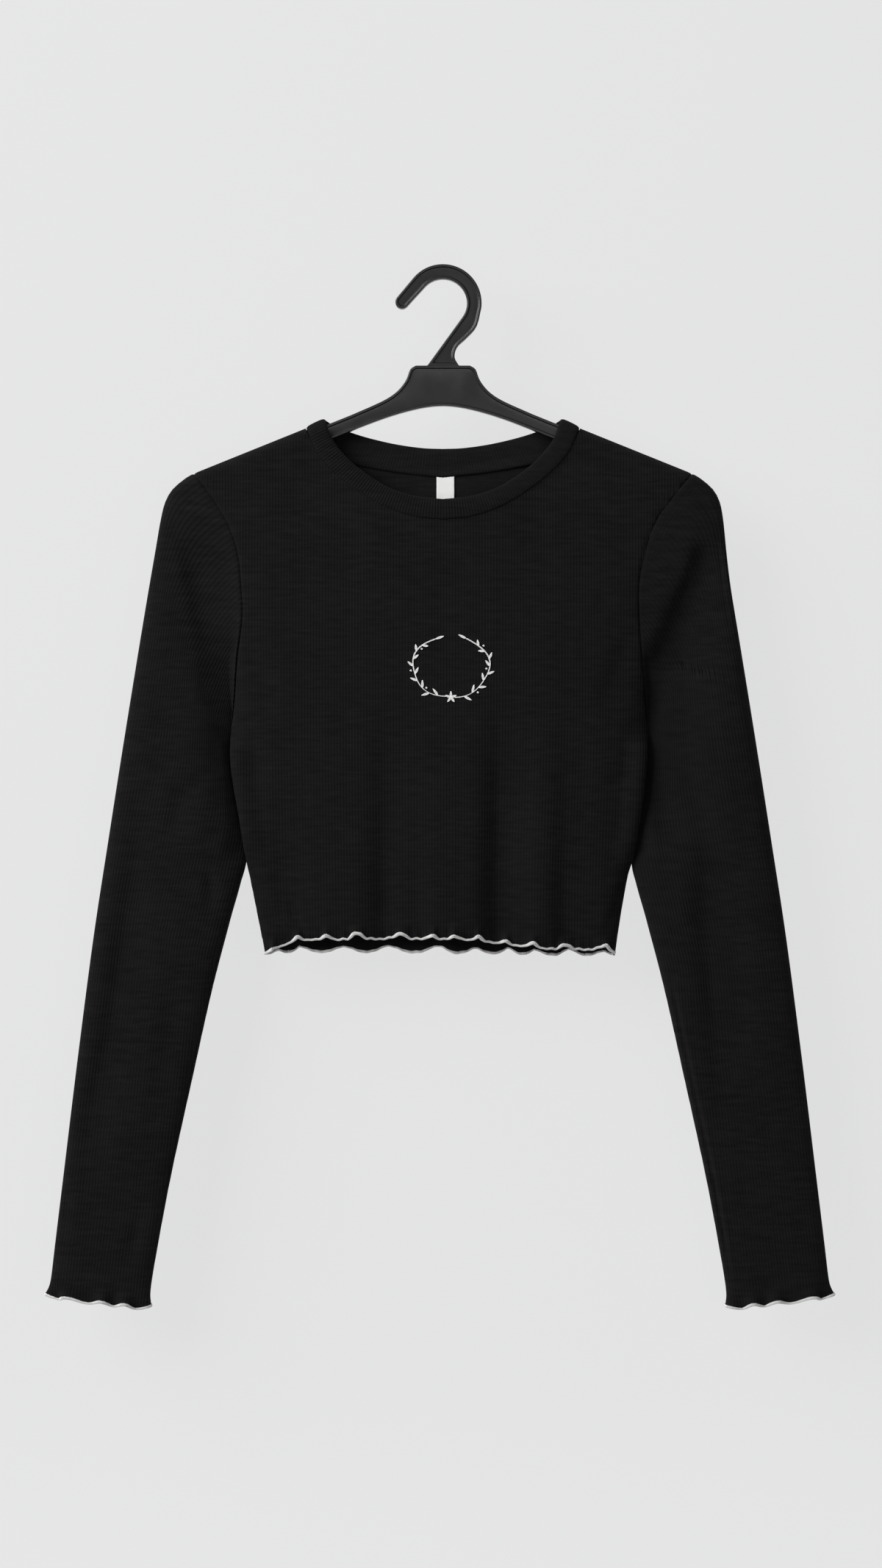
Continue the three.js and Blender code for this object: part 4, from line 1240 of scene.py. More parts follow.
@dataclass(frozen=True)
class ChestWreath:
    """Embroidery on the chest: a plain open wreath of two leafy sprigs in white thread."""

    pattern: BodyPattern
    centre: tuple[float, float] = (6.0, -290.0)
    radii: tuple[float, float] = (28.5, 23.0)
    start: float = -84.0
    end: float = 66.0
    leaves: int = 9
    leaf_length: float = 6.4
    leaf_width: float = 0.7
    leaf_turn: float = 0.75
    petals: int = 5
    petal_length: float = 4.4
    stem_thread: float = 0.22
    thread: float = 0.25
    stand: float = 0.5

    def on_cloth(self, flat: Array) -> Array:
        """Lay flat points of the design on the front.

        Args:
            flat: Points of the design as x and z.

        Returns:
            The points a thread's height above the cloth.
        """
        x, z = flat[..., 0], flat[..., 1]
        y = self.pattern.lie(Face.FRONT, x.ravel(), z.ravel()).reshape(x.shape) - self.stand
        return np.stack([x, y, z], axis=-1)

    def stem(self, side: int) -> Array:
        """Draw one sprig's stem from the foot of the wreath to its tip."""
        angle = np.radians(np.linspace(self.start, self.end, 90))
        sway = 1 + 0.03 * np.sin(4.5 * angle + 0.6 * side)
        x = self.centre[0] + side * self.radii[0] * sway * np.cos(angle)
        z = self.centre[1] + self.radii[1] * sway * np.sin(angle)
        return np.stack([x, z], axis=1)

    def leaf(self, foot: Array, heading: float, length: float) -> Array:
        """Draw one leaf in four satin stitches.

        Args:
            foot: Where it leaves its stem.
            heading: Which way it points, in radians.
            length: Its length.

        Returns:
            Four paths of points.
        """
        t = np.linspace(0, 1, 9)
        ahead = np.array([math.cos(heading), math.sin(heading)])
        beside = np.array([-ahead[1], ahead[0]])
        paths = []
        for share in (-1, -0.35, 0.35, 1):
            spread = share * self.leaf_width * np.sin(np.pi * t ** 0.85)
            paths.append(foot + ahead * (length * t)[:, None] + beside * spread[:, None])
        return np.array(paths)

    def build(self) -> bpy.types.Object:
        """Embroider the wreath.

        Returns:
            All its threads as one piece.
        """
        stems, leaves, knots = [], [], []
        for side in (-1, 1):
            stem = self.stem(side)
            for offset in (-self.stem_thread, self.stem_thread):
                stems.append(stem + offset * np.array([1.0, 0.6 * side]))
            for k in range(self.leaves):
                place = int(8 + k * (len(stem) - 14) / self.leaves)
                run = stem[place + 1] - stem[place]
                heading = math.atan2(run[1], run[0])
                turn = self.leaf_turn if k % 2 else -self.leaf_turn
                length = self.leaf_length * (1 - 0.035 * k)
                leaves.extend(self.leaf(stem[place], heading + turn, length))
                if k % 3 == 1:
                    away = np.array([math.cos(heading - 1.4 * turn), math.sin(heading - 1.4 * turn)])
                    knots.append(stem[place + 3] + 2.6 * away)
            run = stem[-1] - stem[-2]
            leaves.extend(self.leaf(stem[-1], math.atan2(run[1], run[0]), self.leaf_length))
        foot = np.array([self.centre[0], self.centre[1] - self.radii[1]])
        for k in range(self.petals):
            heading = math.radians(90 + 360 / self.petals * k)
            leaves.extend(self.leaf(foot, heading, self.petal_length))
        turn = np.linspace(0, 3.2 * math.pi, 14)
        curl = np.stack([np.cos(turn), np.sin(turn)], axis=1) * (0.25 + 0.045 * turn)[:, None]
        knots = np.array([knot + curl for knot in knots + [foot]])
        verts, faces = [], []
        total = 0
        for paths in (np.array(stems), np.array(leaves), knots):
            lain = self.on_cloth(paths)
            points, found = thread_bundle(lain, np.array([0.0, 1.0, 0.0]), self.thread, 5)
            verts.append(points)
            faces += [[corner + total for corner in face] for face in found]
            total += len(points)
        piece = mesh_object("chest_wreath", np.concatenate(verts), faces)
        face_outwards(piece)
        return piece


@dataclass(frozen=True)
class NeckLabel:
    """A blank satin tab sewn inside the back neck seam."""

    pattern: BodyPattern
    left: float = -4.7
    right: float = 8.5
    top: float = -146.5
    bottom: float = -166.0
    thickness: float = 0.5
    stand: float = 1.9
    curl: float = 0.5
    ripple: float = 0.18
    softness: float = 0.15
    across: int = 14
    down: int = 18

    def build(self) -> bpy.types.Object:
        """Fold and sew the tab.

        Returns:
            The tab as a thin solid with soft edges.
        """
        x, z = np.meshgrid(np.linspace(self.left, self.right, self.across),
                           np.linspace(self.top, self.bottom, self.down))
        hang = (self.top - z) / (self.top - self.bottom)
        lie = self.pattern.lie(Face.BACK, x.ravel(), z.ravel()).reshape(x.shape)
        turn = 3 * x / (self.right - self.left)
        curl = self.curl * hang ** 2 + self.ripple * np.sin(turn) * hang
        points = np.stack([x, lie - self.stand - curl, z], axis=-1)
        index = np.arange(x.size).reshape(x.shape)
        uv = np.stack([x * MM, -z * MM], axis=-1).reshape(-1, 2)
        piece = mesh_object("label_satin_tab", points.reshape(-1, 3), grid_quads(index).tolist(), uv)
        wall = piece.modifiers.new("wall", "SOLIDIFY")
        wall.thickness = self.thickness * MM
        wall.offset = 0
        soft = piece.modifiers.new("soft", "BEVEL")
        soft.width = self.softness * MM
        soft.segments = 2
        apply_modifiers(piece)
        face_outwards(piece)
        return piece


def only(piece: bpy.types.Object) -> None:
    """Select one object and nothing else."""
    bpy.ops.object.select_all(action="DESELECT")
    piece.select_set(True)
    bpy.context.view_layer.objects.active = piece


def apply_modifiers(piece: bpy.types.Object) -> None:
    """Apply an object's modifiers in order."""
    only(piece)
    for modifier in list(piece.modifiers):
        bpy.ops.object.modifier_apply(modifier=modifier.name)


@dataclass
class Hanger:
    """One moulding: hook, plate and two arms, with a raised rim round a thinner web."""

    thickness: float = 7.2
    web: float = 3.0
    rim: float = 2.0
    softness: float = 0.7
    hook_z: float = -18.0
    inner_radius: float = 18.0
    outer_radius: float = 29.0
    mouth_angle: float = 138.0
    stem_angle: float = -36.0
    tip: tuple[float, float, float] = (-30.5, -17.2, 5.1)
    plate_z: float = -64.8
    arch_z: float = -94.8
    arm_slope: float = 22.0
    arm_start: tuple[float, float] = (67.4, -101.3)
    arm_end_x: float = 188.0
    arm_height: float = 11.0
    arc_steps: int = 26
    plate_steps: int = 18
    stem_steps: int = 16
    arch_steps: int = 12
    flat_from: float = 0.9
    bevel_segments: int = 4
    sharp_from: float = 50.0
    smooth_below: float = 38.0

    def arc(self, radius: float, start: float, end: float) -> list[tuple[float, float]]:
        """List the points of an arc round the hook's centre."""
        turns = np.radians(np.linspace(start, end, self.arc_steps + 1))
        return [(radius * math.cos(a), self.hook_z + radius * math.sin(a)) for a in turns]

    def spline(self, points: Line, steps: int) -> list[tuple[float, float]]:
        """List the points of a smooth curve through a few."""
        places = np.linspace(0, len(points) - 1, steps + 1)
        x = Rule(range(len(points)), [point[0] for point in points]).at(places)
        z = Rule(range(len(points)), [point[1] for point in points]).at(places)
        return list(zip(x.tolist(), z.tolist()))

    def arm(self) -> list[tuple[float, float]]:
        """List the right half below the hook, from the plate's top to the middle of the arch."""
        slope = math.radians(self.arm_slope)
        along = np.array([math.cos(slope), -math.sin(slope)])
        up = np.array([math.sin(slope), math.cos(slope)])
        start = np.array(self.arm_start)
        plate = self.spline(((20.2, self.plate_z), (24.4, -67.6), (27, -74.4), (30.4, -79.8),
                             (36, -85.6), (46, -91.8), self.arm_start), self.plate_steps)
        end = start + along * (self.arm_end_x - start[0]) / along[0]
        centre = end - up * self.arm_height / 2
        tip = []
        for turn in range(0, 181, 15):
            angle = math.radians(90 - self.arm_slope - turn)
            out = np.array([math.cos(angle), math.sin(angle)])
            tip.append(tuple(centre + out * self.arm_height / 2))
        low = start - up * self.arm_height
        bend = np.array([low[0] - (low[1] - self.arch_z) / along[1] * along[0], self.arch_z])
        foot = np.array([0.0, self.arch_z])
        arch = []
        for t in np.linspace(0, 1, self.arch_steps + 1):
            arch.append(tuple(low * (1 - t) ** 2 + bend * 2 * t * (1 - t) + foot * t * t))
        return plate + tip + arch

    def outline(self) -> tuple[list, list, list]:
        """List the outline: the hook's outer side, all below the hook, and its inner side."""
        stem = self.spline(((28.9, -21), (25.2, -35.4), (17.4, -44.4), (10.6, -51), (8.8, -58.6),
                            (12, self.plate_z)), self.stem_steps)
        half = self.arm()
        mirrored = [(-x, z) for x, z in half[:-1][::-1]]
        cap = []
        for turn in range(0, 181, 20):
            angle = math.radians(self.mouth_angle - 180 - turn)
            cap.append((self.tip[0] + self.tip[2] * math.cos(angle),
                        self.tip[1] + self.tip[2] * math.sin(angle)))
        outer = self.arc(self.outer_radius, self.mouth_angle, 0) + stem
        inner = self.arc(self.inner_radius, self.stem_angle, self.mouth_angle) + cap
        return outer, half + mirrored, [(-11.6, self.plate_z)] + inner

    def pick_faces(self, piece: bpy.types.Object, sign: int) -> None:
        """Select the large flat faces of hook and plate on one side, ready to edit."""
        only(piece)
        bpy.ops.object.mode_set(mode="EDIT")
        bpy.ops.mesh.select_mode(type="FACE")
        bpy.ops.mesh.select_all(action="DESELECT")
        bpy.ops.object.mode_set(mode="OBJECT")
        for face in piece.data.polygons:
            face.select = face.normal.y * sign > self.flat_from
        bpy.ops.object.mode_set(mode="EDIT")

    def build(self) -> bpy.types.Object:
        """Mould the hanger.

        Returns:
            The hanger as one closed piece with softened edges.
        """
        outer, below, inner = self.outline()
        half = self.thickness / 2
        points = [(x, -half, z) for x, z in outer + below + inner]
        start, end = len(outer) - 1, len(outer) + len(below)
        hook = [*range(start + 1), *range(end, len(points))]
        arms = [*range(start, end + 1)]
        piece = mesh_object("hanger_moulding", np.array(points), [hook, arms], smooth=False)
        only(piece)
        bpy.ops.object.mode_set(mode="EDIT")
        bpy.ops.mesh.select_all(action="SELECT")
        bpy.ops.mesh.remove_doubles(threshold=0.05 * MM)
        move = {"value": (0, self.thickness * MM, 0)}
        bpy.ops.mesh.extrude_region_move(TRANSFORM_OT_translate=move)
        bpy.ops.mesh.select_all(action="SELECT")
        bpy.ops.mesh.normals_make_consistent(inside=False)
        bpy.ops.object.mode_set(mode="OBJECT")
        recess = (self.thickness - self.web) / 2
        for sign in (-1, 1):
            self.pick_faces(piece, sign)
            bpy.ops.mesh.inset(thickness=self.rim * MM, depth=0, use_individual=True)
            sink = {"value": (0, -sign * recess * MM, 0)}
            bpy.ops.mesh.extrude_region_move(TRANSFORM_OT_translate=sink)
            bpy.ops.object.mode_set(mode="OBJECT")
        soft = piece.modifiers.new("softened edges", "BEVEL")
        soft.width = self.softness * MM
        soft.segments = self.bevel_segments
        soft.use_clamp_overlap = False
        soft.limit_method = "ANGLE"
        soft.angle_limit = math.radians(self.sharp_from)
        flat = piece.modifiers.new("flat faces", "TRIANGULATE")
        flat.min_vertices = 5
        apply_modifiers(piece)
        bpy.ops.object.shade_smooth_by_angle(angle=math.radians(self.smooth_below))
        return piece


class NodeSheet:
    """A material's or a group's node tree, with short ways to add and join nodes."""

    def __init__(self, tree: bpy.types.NodeTree) -> None:
        """Keep the tree that nodes are added to."""
        self.tree = tree

    def add(self, kind: str, **settings: object) -> bpy.types.Node:
        """Add a node.

        Args:
            kind: The node's type.
            settings: Its properties, by name.

        Returns:
            The node.
        """
        node = self.tree.nodes.new(kind)
        for name, value in settings.items():
            setattr(node, name, value)
        return node

    def join(self, start: bpy.types.NodeSocket, end: bpy.types.NodeSocket) -> None:
        """Link an output to an input."""
        self.tree.links.new(start, end)

    def math(self, operation: str, first: object, second: object = 0.0) -> bpy.types.NodeSocket:
        """Add a sum of two values.

        Args:
            operation: Name of the sum.
            first: A number or an output.
            second: A number or an output.

        Returns:
            The result's output.
        """
        node = self.add("ShaderNodeMath", operation=operation)
        for socket, value in zip(node.inputs, (first, second)):
            if isinstance(value, bpy.types.NodeSocket):
                self.join(value, socket)
            else:
                socket.default_value = value
        return node.outputs[0]

    def noise(self, place: bpy.types.NodeSocket, scale: float,
              detail: float = 2.0) -> bpy.types.NodeSocket:
        """Add a noise pattern and give its value's output."""
        node = self.add("ShaderNodeTexNoise")
        node.inputs["Scale"].default_value = scale
        node.inputs["Detail"].default_value = detail
        self.join(place, node.inputs["Vector"])
        return node.outputs["Fac"]


def new_material(name: str, values: dict[str, object]
                 ) -> tuple[bpy.types.Material, NodeSheet, bpy.types.Node]:
    """Start a material.

    Args:
        name: The material's name.
        values: The values of its shader's inputs, by name.

    Returns:
        The material, its node sheet and its shader.
    """
    material = bpy.data.materials.new(name)
    material.use_nodes = True
    shader = material.node_tree.nodes["Principled BSDF"]
    for label, value in values.items():
        shader.inputs[label].default_value = value
    return material, NodeSheet(material.node_tree), shader


class Patterns:
    """Surface patterns that more than one finish uses, each a node group built once."""

    wale = 0.0022
    course = 0.0016
    slant = 0.45
    valley = 0.6

    def __init__(self) -> None:
        """Build the groups."""
        self.stitch = self.make_stitch()
        self.fuzz = self.make_fuzz()
        self.yarn = self.make_yarn()
        self.grain = self.make_grain()

    def group(self, name: str, inputs: dict[str, tuple[str, object]],
              outputs: dict[str, str]) -> tuple[bpy.types.NodeTree, NodeSheet, dict, dict]:
        """Start a node group.

        Args:
            name: The group's name.
            inputs: Kind and default of each input, by name.
            outputs: Kind of each output, by name.

        Returns:
            The group, its node sheet, and its inputs and outputs inside the group.
        """
        tree = bpy.data.node_groups.new(name, "ShaderNodeTree")
        for label, (kind, default) in inputs.items():
            socket = tree.interface.new_socket(name=label, in_out="INPUT", socket_type=kind)
            if default is not None:
                socket.default_value = default
        for label, kind in outputs.items():
            tree.interface.new_socket(name=label, in_out="OUTPUT", socket_type=kind)
        sheet = NodeSheet(tree)
        return tree, sheet, sheet.add("NodeGroupInput").outputs, sheet.add("NodeGroupOutput").inputs

    def make_stitch(self) -> bpy.types.NodeTree:
        """Build the V-shaped loops of the knit, along the cloth's own columns."""
        tree, sheet, given, made = self.group(
            "knit loops",
            {"Cloth": ("NodeSocketVector", None), "Wale": ("NodeSocketFloat", self.wale),
             "Course": ("NodeSocketFloat", self.course)},
            {"Height": "NodeSocketFloat"})
        split = sheet.add("ShaderNodeSeparateXYZ")
        sheet.join(given["Cloth"], split.inputs[0])
        wale = sheet.math("DIVIDE", split.outputs[0], given["Wale"])
        course = sheet.math("DIVIDE", split.outputs[1], given["Course"])
        side = sheet.math("MULTIPLY", sheet.math("PINGPONG", wale, 0.5), 2.0)
        slanted = sheet.math("ADD", course, sheet.math("MULTIPLY", side, self.slant))
        wave = sheet.math("SINE", sheet.math("MULTIPLY", slanted, 2 * math.pi))
        height = sheet.math("ADD", sheet.math("MULTIPLY", wave, 0.5), 0.5)
        crown = sheet.math("SUBTRACT", 1.0, sheet.math("MULTIPLY", side, self.valley))
        sheet.join(sheet.math("MULTIPLY", height, crown), made["Height"])
        return tree

    def make_fuzz(self) -> bpy.types.NodeTree:
        """Build the fine uneven fibres that stand on the yarn."""
        tree, sheet, given, made = self.group(
            "yarn fuzz",
            {"Place": ("NodeSocketVector", None)}, {"Height": "NodeSocketFloat"})
        fine = sheet.noise(given["Place"], 2600.0, 3.0)
        broad = sheet.noise(given["Place"], 700.0, 2.0)
        sheet.join(sheet.math("ADD", sheet.math("MULTIPLY", fine, 0.6),
                              sheet.math("MULTIPLY", broad, 0.4)), made["Height"])
        return tree

    def make_yarn(self) -> bpy.types.NodeTree:
        """Build the slight unevenness of a dyed yarn's colour, column by column and in clouds."""
        tree, sheet, given, made = self.group(
            "dyed yarn",
            {"Place": ("NodeSocketVector", None), "Cloth": ("NodeSocketVector", None),
             "Colour": ("NodeSocketColor", (0.01, 0.01, 0.01, 1.0)),
             "Variation": ("NodeSocketFloat", 0.2)},
            {"Colour": "NodeSocketColor"})
        split = sheet.add("ShaderNodeSeparateXYZ")
        sheet.join(given["Cloth"], split.inputs[0])
        column = sheet.add("ShaderNodeTexWhiteNoise", noise_dimensions="1D")
        wale = sheet.math("DIVIDE", split.outputs[0], self.wale)
        sheet.join(sheet.math("FLOOR", wale), column.inputs["W"])
        squashed = sheet.add("ShaderNodeMapping")
        squashed.inputs["Scale"].default_value = (0.16, 0.16, 1.0)
        sheet.join(given["Place"], squashed.inputs["Vector"])
        course = sheet.noise(squashed.outputs[0], 420.0, 3.0)
        cloud = sheet.noise(given["Place"], 22.0, 4.0)
        speck = sheet.noise(given["Place"], 900.0, 2.0)
        parts = ((column.outputs["Value"], 0.12), (cloud, 0.6), (speck, 0.4), (course, 2.0))
        mixed = 0.0
        for output, weight in parts:
            mixed = sheet.math("ADD", mixed, sheet.math("MULTIPLY", output, weight))
        centred = sheet.math("SUBTRACT", mixed, sum(weight for _, weight in parts) / 2)
        factor = sheet.math("ADD", sheet.math("MULTIPLY", centred, given["Variation"]), 1.0)
        scale = sheet.add("ShaderNodeVectorMath", operation="SCALE")
        sheet.join(given["Colour"], scale.inputs[0])
        sheet.join(factor, scale.inputs["Scale"])
        sheet.join(scale.outputs[0], made["Colour"])
        return tree

    def make_grain(self) -> bpy.types.NodeTree:
        """Build the faint grain of moulded plastic, with rubbed patches."""
        tree, sheet, given, made = self.group(
            "moulded grain",
            {"Place": ("NodeSocketVector", None), "Roughness": ("NodeSocketFloat", 0.4)},
            {"Height": "NodeSocketFloat", "Roughness": "NodeSocketFloat"})
        sheet.join(sheet.noise(given["Place"], 1500.0, 3.0), made["Height"])
        rub = sheet.math("SUBTRACT", sheet.noise(given["Place"], 60.0, 4.0), 0.5)
        sheet.join(sheet.math("ADD", given["Roughness"], sheet.math("MULTIPLY", rub, 0.25)),
                   made["Roughness"])
        return tree


@dataclass(frozen=True)
class Finish:
    """A material: its colour, gloss and the patterns on it."""

    name: str
    colour: tuple[float, float, float]
    roughness: float
    specular: float = 0.5
    sheen: float = 0.0
    sheen_roughness: float = 0.5
    variation: float = 0.2
    bump: float = 0.08
    fuzz: float = 0.05

    def start(self) -> tuple[bpy.types.Material, NodeSheet, bpy.types.Node, bpy.types.Node]:
        """Start the material.

        Returns:
            The material, its node sheet, its shader and its texture coordinates.
        """
        material, sheet, shader = new_material(self.name, {
            "Base Color": (*self.colour, 1.0), "Roughness": self.roughness,
            "Specular IOR Level": self.specular, "Sheen Weight": self.sheen,
            "Sheen Roughness": self.sheen_roughness})
        return material, sheet, shader, sheet.add("ShaderNodeTexCoord")

    def place_group(self, sheet: NodeSheet, tree: bpy.types.NodeTree,
                    links: dict[str, bpy.types.NodeSocket]) -> bpy.types.Node:
        """Put a pattern in the material and join its inputs."""
        node = sheet.add("ShaderNodeGroup", node_tree=tree)
        for label, socket in links.items():
            sheet.join(socket, node.inputs[label])
        return node

    def dye(self, sheet: NodeSheet, patterns: Patterns, shader: bpy.types.Node,
            links: dict[str, bpy.types.NodeSocket]) -> None:
        """Give the shader the yarn's uneven colour."""
        yarn = self.place_group(sheet, patterns.yarn, links)
        yarn.inputs["Colour"].default_value = (*self.colour, 1.0)
        yarn.inputs["Variation"].default_value = self.variation
        sheet.join(yarn.outputs["Colour"], shader.inputs["Base Color"])

    def raise_by(self, sheet: NodeSheet, height: bpy.types.NodeSocket, distance: float,
                 under: bpy.types.NodeSocket | None = None) -> bpy.types.NodeSocket:
        """Raise a pattern off the surface.

        Args:
            sheet: The material's node sheet.
            height: The pattern's height.
            distance: How far it rises, in millimetres.
            under: The surface normal that it rises from, if it isn't the plain one.

        Returns:
            The new normal.
        """
        bump = sheet.add("ShaderNodeBump")
        bump.inputs["Distance"].default_value = distance * MM
        sheet.join(height, bump.inputs["Height"])
        if under is not None:
            sheet.join(under, bump.inputs["Normal"])
        return bump.outputs["Normal"]


class KnitFinish(Finish):
    """Dyed rib knit: matt yarn with a soft sheen, V-shaped loops and fine fibres."""

    def make(self, patterns: Patterns) -> bpy.types.Material:
        """Make the material from the shared patterns."""
        material, sheet, shader, place = self.start()
        self.dye(sheet, patterns, shader,
                 {"Place": place.outputs["Object"], "Cloth": place.outputs["UV"]})
        loops = self.place_group(sheet, patterns.stitch, {"Cloth": place.outputs["UV"]})
        fibres = self.place_group(sheet, patterns.fuzz, {"Place": place.outputs["Object"]})
        normal = self.raise_by(sheet, loops.outputs["Height"], self.bump)
        normal = self.raise_by(sheet, fibres.outputs["Height"], self.fuzz, normal)
        sheet.join(normal, shader.inputs["Normal"])
        return material


class ThreadFinish(Finish):
    """Spun or satin thread: fine fibres and faint shading along it."""

    def make(self, patterns: Patterns) -> bpy.types.Material:
        """Make the material from the shared patterns."""
        material, sheet, shader, place = self.start()
        self.dye(sheet, patterns, shader,
                 {"Place": place.outputs["Object"], "Cloth": place.outputs["Object"]})
        fibres = self.place_group(sheet, patterns.fuzz, {"Place": place.outputs["Object"]})
        normal = self.raise_by(sheet, fibres.outputs["Height"], self.fuzz)
        sheet.join(normal, shader.inputs["Normal"])
        return material


class PlasticFinish(Finish):
    """Moulded plastic with a faint grain and rubbed patches."""

    def make(self, patterns: Patterns) -> bpy.types.Material:
        """Make the material from the shared patterns."""
        material, sheet, shader, place = self.start()
        grain = self.place_group(sheet, patterns.grain, {"Place": place.outputs["Object"]})
        grain.inputs["Roughness"].default_value = self.roughness
        sheet.join(grain.outputs["Roughness"], shader.inputs["Roughness"])
        normal = self.raise_by(sheet, grain.outputs["Height"], self.bump)
        sheet.join(normal, shader.inputs["Normal"])
        return material


@dataclass(frozen=True)
class Studio:
    """A plain pale wall that curves into a floor, soft light and the photograph's camera.

    Each light has a name, a place, the length of its sides and its power, in metres and watts.
    """

    lights = (("window", (-2.1, -1.76, 1.08), 2.2, 120.0),
              ("fill", (1.2, -3.0, 0.0), 2.4, 8.0),
              ("bounce", (0.3, -1.9, -0.98), 1.5, 12.0))
    wall_y: float = 0.05
    wall_top: float = 1.9
    floor_front: float = -4.2
    half_width: float = 3.2
    floor_z: float = -1.06
    cove: float = 0.22
    camera_distance: float = 2.6
    frame_height: float = 1.173
    sensor: float = 36.0
    paint_colour: tuple[float, float, float] = (0.075, 0.075, 0.075)
    glow: float = 0.71
    glow_colour: tuple[float, float, float] = (0.994, 0.997, 1.0)
    air_colour: tuple[float, float, float] = (0.96, 0.98, 1.0)
    air_strength: float = 0.12
    centre: tuple[float, float] = (-0.0014, -0.3775)

    def backdrop(self) -> bpy.types.Object:
        """Build the wall and floor as one curved sheet.

        Returns:
            The backdrop, seen only from its front. Its floor glows to the eye alone: what
            light comes up under the cloth is the bounce light's.
        """
        line = [(self.wall_y, self.wall_top)]
        for angle in np.linspace(0, math.pi / 2, 14):
            line.append((self.wall_y - self.cove * (1 - math.cos(angle)),
                         self.floor_z + self.cove * (1 - math.sin(angle))))
        line.append((self.floor_front, self.floor_z))
        xs = np.linspace(-self.half_width, self.half_width, 9)
        points = np.array([[(x, y, z) for x in xs] for y, z in line]) / MM
        index = np.arange(points[..., 0].size).reshape(points.shape[:2])
        quads = grid_quads(index)[:, ::-1]
        piece = mesh_object("backdrop", points.reshape(-1, 3), quads.tolist())
        if piece.data.polygons[0].normal.y > 0:
            piece.data.flip_normals()
        piece.data.materials.append(self.paint("painted wall", False))
        piece.data.materials.append(self.paint("painted floor", True))
        for face in piece.data.polygons:
            face.material_index = int(face.center.y < self.wall_y - self.cove)
        return piece

    def paint(self, name: str, seen_only: bool) -> bpy.types.Material:
        """Mix the backdrop's paint.

        Args:
            name: The material's name.
            seen_only: Whether its glow is seen but lights nothing.

        Returns:
            The material, clear from behind.
        """
        material, sheet, shader = new_material(name, {
            "Base Color": (*self.paint_colour, 1.0), "Roughness": 0.95,
            "Specular IOR Level": 0.0, "Emission Color": (*self.glow_colour, 1.0),
            "Emission Strength": self.glow})
        if seen_only:
            eye = sheet.add("ShaderNodeLightPath").outputs["Is Camera Ray"]
            sheet.join(sheet.math("MULTIPLY", eye, self.glow), shader.inputs["Emission Strength"])
        mix = sheet.add("ShaderNodeMixShader")
        sheet.join(sheet.add("ShaderNodeNewGeometry").outputs["Backfacing"], mix.inputs[0])
        sheet.join(shader.outputs[0], mix.inputs[1])
        sheet.join(sheet.add("ShaderNodeBsdfTransparent").outputs[0], mix.inputs[2])
        sheet.join(mix.outputs[0], material.node_tree.nodes["Material Output"].inputs["Surface"])
        return material

    def light(self, name: str, place: tuple[float, float, float], size: float,
              power: float) -> None:
        """Hang a soft square light that faces the middle of the garment."""
        lamp = bpy.data.lights.new(name, "AREA")
        lamp.size = size
        lamp.energy = power
        holder = bpy.data.objects.new(name, lamp)
        bpy.context.scene.collection.objects.link(holder)
        holder.location = place
        holder.visible_camera = False
        away = np.array(place) - np.array([0.0, 0.0, self.centre[1]])
        holder.rotation_euler = (math.atan2(math.hypot(away[0], away[1]), away[2]), 0.0,
                                 math.atan2(away[0], -away[1]))

    def build(self) -> None:
        """Set up the wall, the lights, the air and the camera."""
        self.backdrop()
        for settings in self.lights:
            self.light(*settings)
        air = bpy.data.worlds.new("room")
        air.use_nodes = True
        background = air.node_tree.nodes["Background"].inputs
        background["Color"].default_value = (*self.air_colour, 1.0)
        background["Strength"].default_value = self.air_strength
        bpy.context.scene.world = air
        bpy.context.scene.view_settings.view_transform = "Standard"
        lens = bpy.data.cameras.new("photograph")
        lens.sensor_width = self.sensor
        lens.sensor_fit = "AUTO"
        lens.lens = self.sensor * self.camera_distance / self.frame_height
        eye = bpy.data.objects.new("photograph", lens)
        bpy.context.scene.collection.objects.link(eye)
        eye.location = (self.centre[0], -self.camera_distance, self.centre[1])
        eye.rotation_euler = (math.pi / 2, 0.0, 0.0)
        bpy.context.scene.camera = eye


@dataclass(frozen=True)
class Cut:
    """The flat size that a piece of cloth was cut to, in metres."""

    width: float
    length: float
    area: float


class Slot(Enum):
    """The record's material slots."""

    KNIT = "rib_knit"
    NECK = "neck_rib"
    LABEL = "label_satin"
    PLASTIC = "hanger_plastic"
    THREAD = "white_thread"


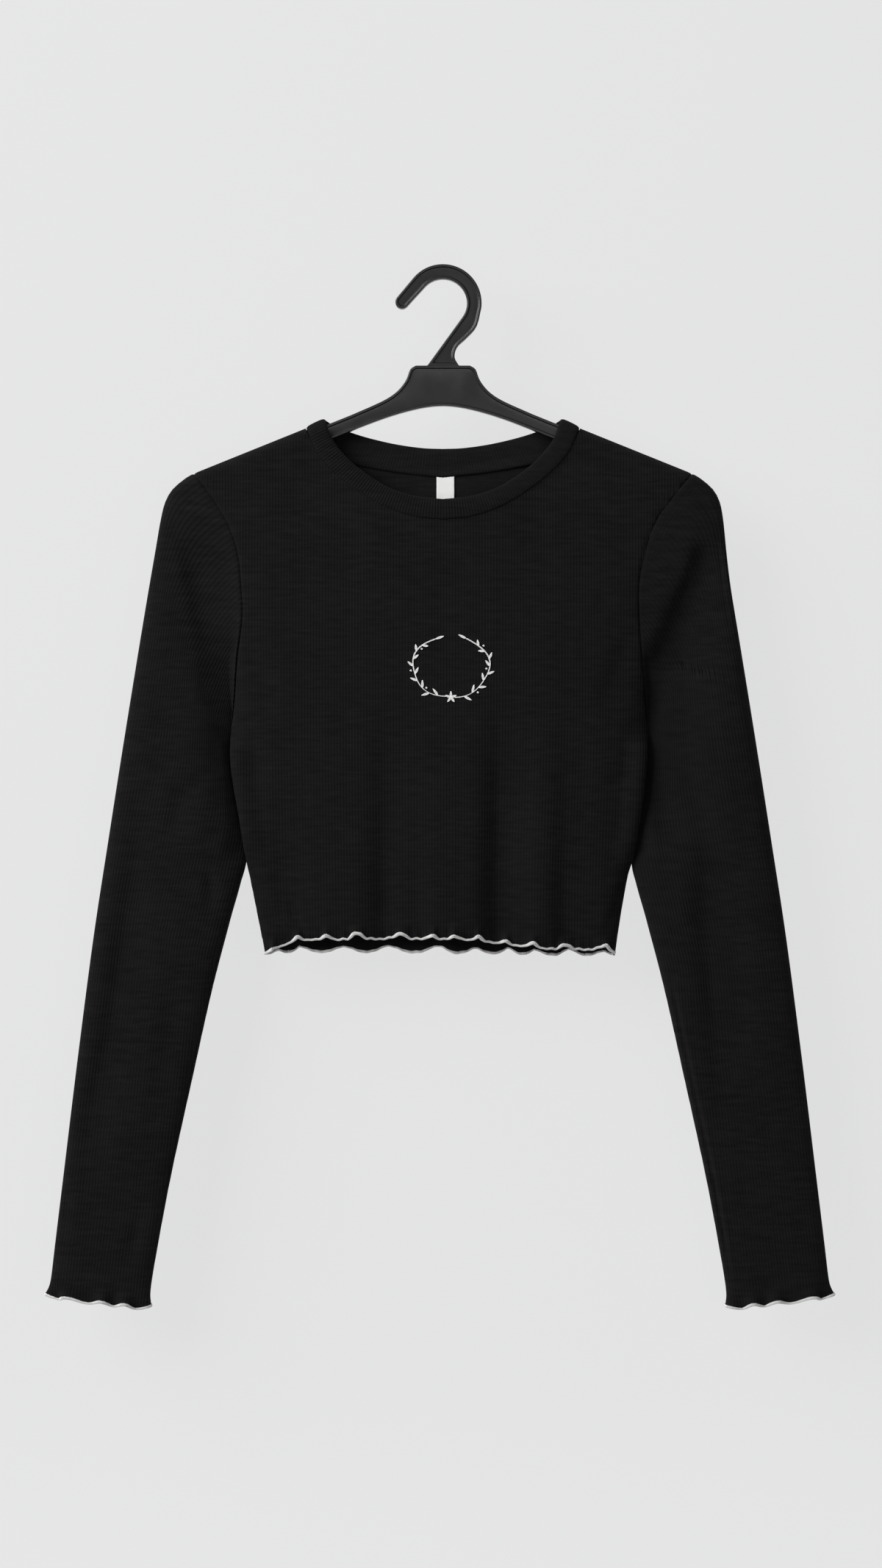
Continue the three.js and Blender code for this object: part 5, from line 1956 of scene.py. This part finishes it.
@dataclass
class CropTop:
    """The whole garment on its hanger."""

    pattern: BodyPattern
    knit: Knit
    patterns: Patterns

    def dress(self, piece: bpy.types.Object, material: bpy.types.Material) -> None:
        """Give a piece its finish and its place in the assembly."""
        piece.data.materials.clear()
        piece.data.materials.append(material)
        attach(piece, "root")
        LOG.info("%s: %d faces", piece.name, len(piece.data.polygons))

    def build(self) -> None:
        """Build and dress every piece in the order that it is sewn."""
        knit = KnitFinish("black rib knit", (0.0064, 0.0063, 0.0067), 0.92, specular=0.1,
                          sheen=0.02, variation=0.7, bump=0.1, fuzz=0.05).make(self.patterns)
        neck = KnitFinish("black neck rib", (0.0066, 0.0065, 0.0069), 0.92, specular=0.1,
                          sheen=0.02, variation=0.6, bump=0.08, fuzz=0.05).make(self.patterns)
        thread = ThreadFinish("white thread", (0.78, 0.78, 0.77), 0.7, specular=0.3, sheen=0.1,
                              variation=0.12, fuzz=0.05).make(self.patterns)
        satin = ThreadFinish("white satin", (0.8, 0.8, 0.79), 0.45, specular=0.4,
                             variation=0.06, fuzz=0.01).make(self.patterns)
        plastic = PlasticFinish("charcoal plastic", (0.019, 0.019, 0.0201), 0.24,
                                bump=0.03).make(self.patterns)
        hanger = Hanger().build()
        self.dress(hanger, plastic)
        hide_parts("hanger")
        self.body_panels(knit, thread)
        self.sleeves(knit, thread)
        band = Neckband(self.pattern).build()
        self.dress(band, neck)
        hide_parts("neckband")
        label = NeckLabel(self.pattern).build()
        self.dress(label, satin)
        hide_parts("neck_label")

    def body_panels(self, knit: bpy.types.Material, thread: bpy.types.Material) -> None:
        """Build the front with its embroidery and hem, then the back with its hem."""
        for face in Face:
            panel = BodyPanel(face, self.pattern, self.knit)
            cloth = panel.build()
            self.dress(cloth, knit)
            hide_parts(face.name.lower())
            hem = EdgeThread().build(f"hem_thread_{face.name.lower()}", panel.edge, 11 + face.value)
            self.dress(hem, thread)
            if face is Face.FRONT:
                wreath = ChestWreath(self.pattern).build()
                self.dress(wreath, thread)

    def sleeves(self, knit: bpy.types.Material, thread: bpy.types.Material) -> None:
        """Build both sleeves with the thread on their cuffs."""
        shifts = {Side.LEFT: (0.0, 0.0), Side.RIGHT: (-4.6, -6.8)}
        for side in Side:
            outer, inner = shifts[side]
            sleeve = Sleeve(side, self.pattern, self.knit, outer_shift=outer, inner_shift=inner)
            cloth = sleeve.build()
            label = side.name.lower()
            self.dress(cloth, knit)
            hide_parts(f"sleeve_{label}")
            cuff = EdgeThread().build(f"cuff_thread_{label}", sleeve.edge, 21 + side.value)
            self.dress(cuff, thread)


def main() -> None:
    """Load the frame, build the scene and note its size."""
    logging.basicConfig(level=logging.INFO, format="%(name)s: %(message)s")
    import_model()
    Studio().build()
    CropTop(BodyPattern(), Knit(), Patterns()).build()


if __name__ == "__main__":
    main()
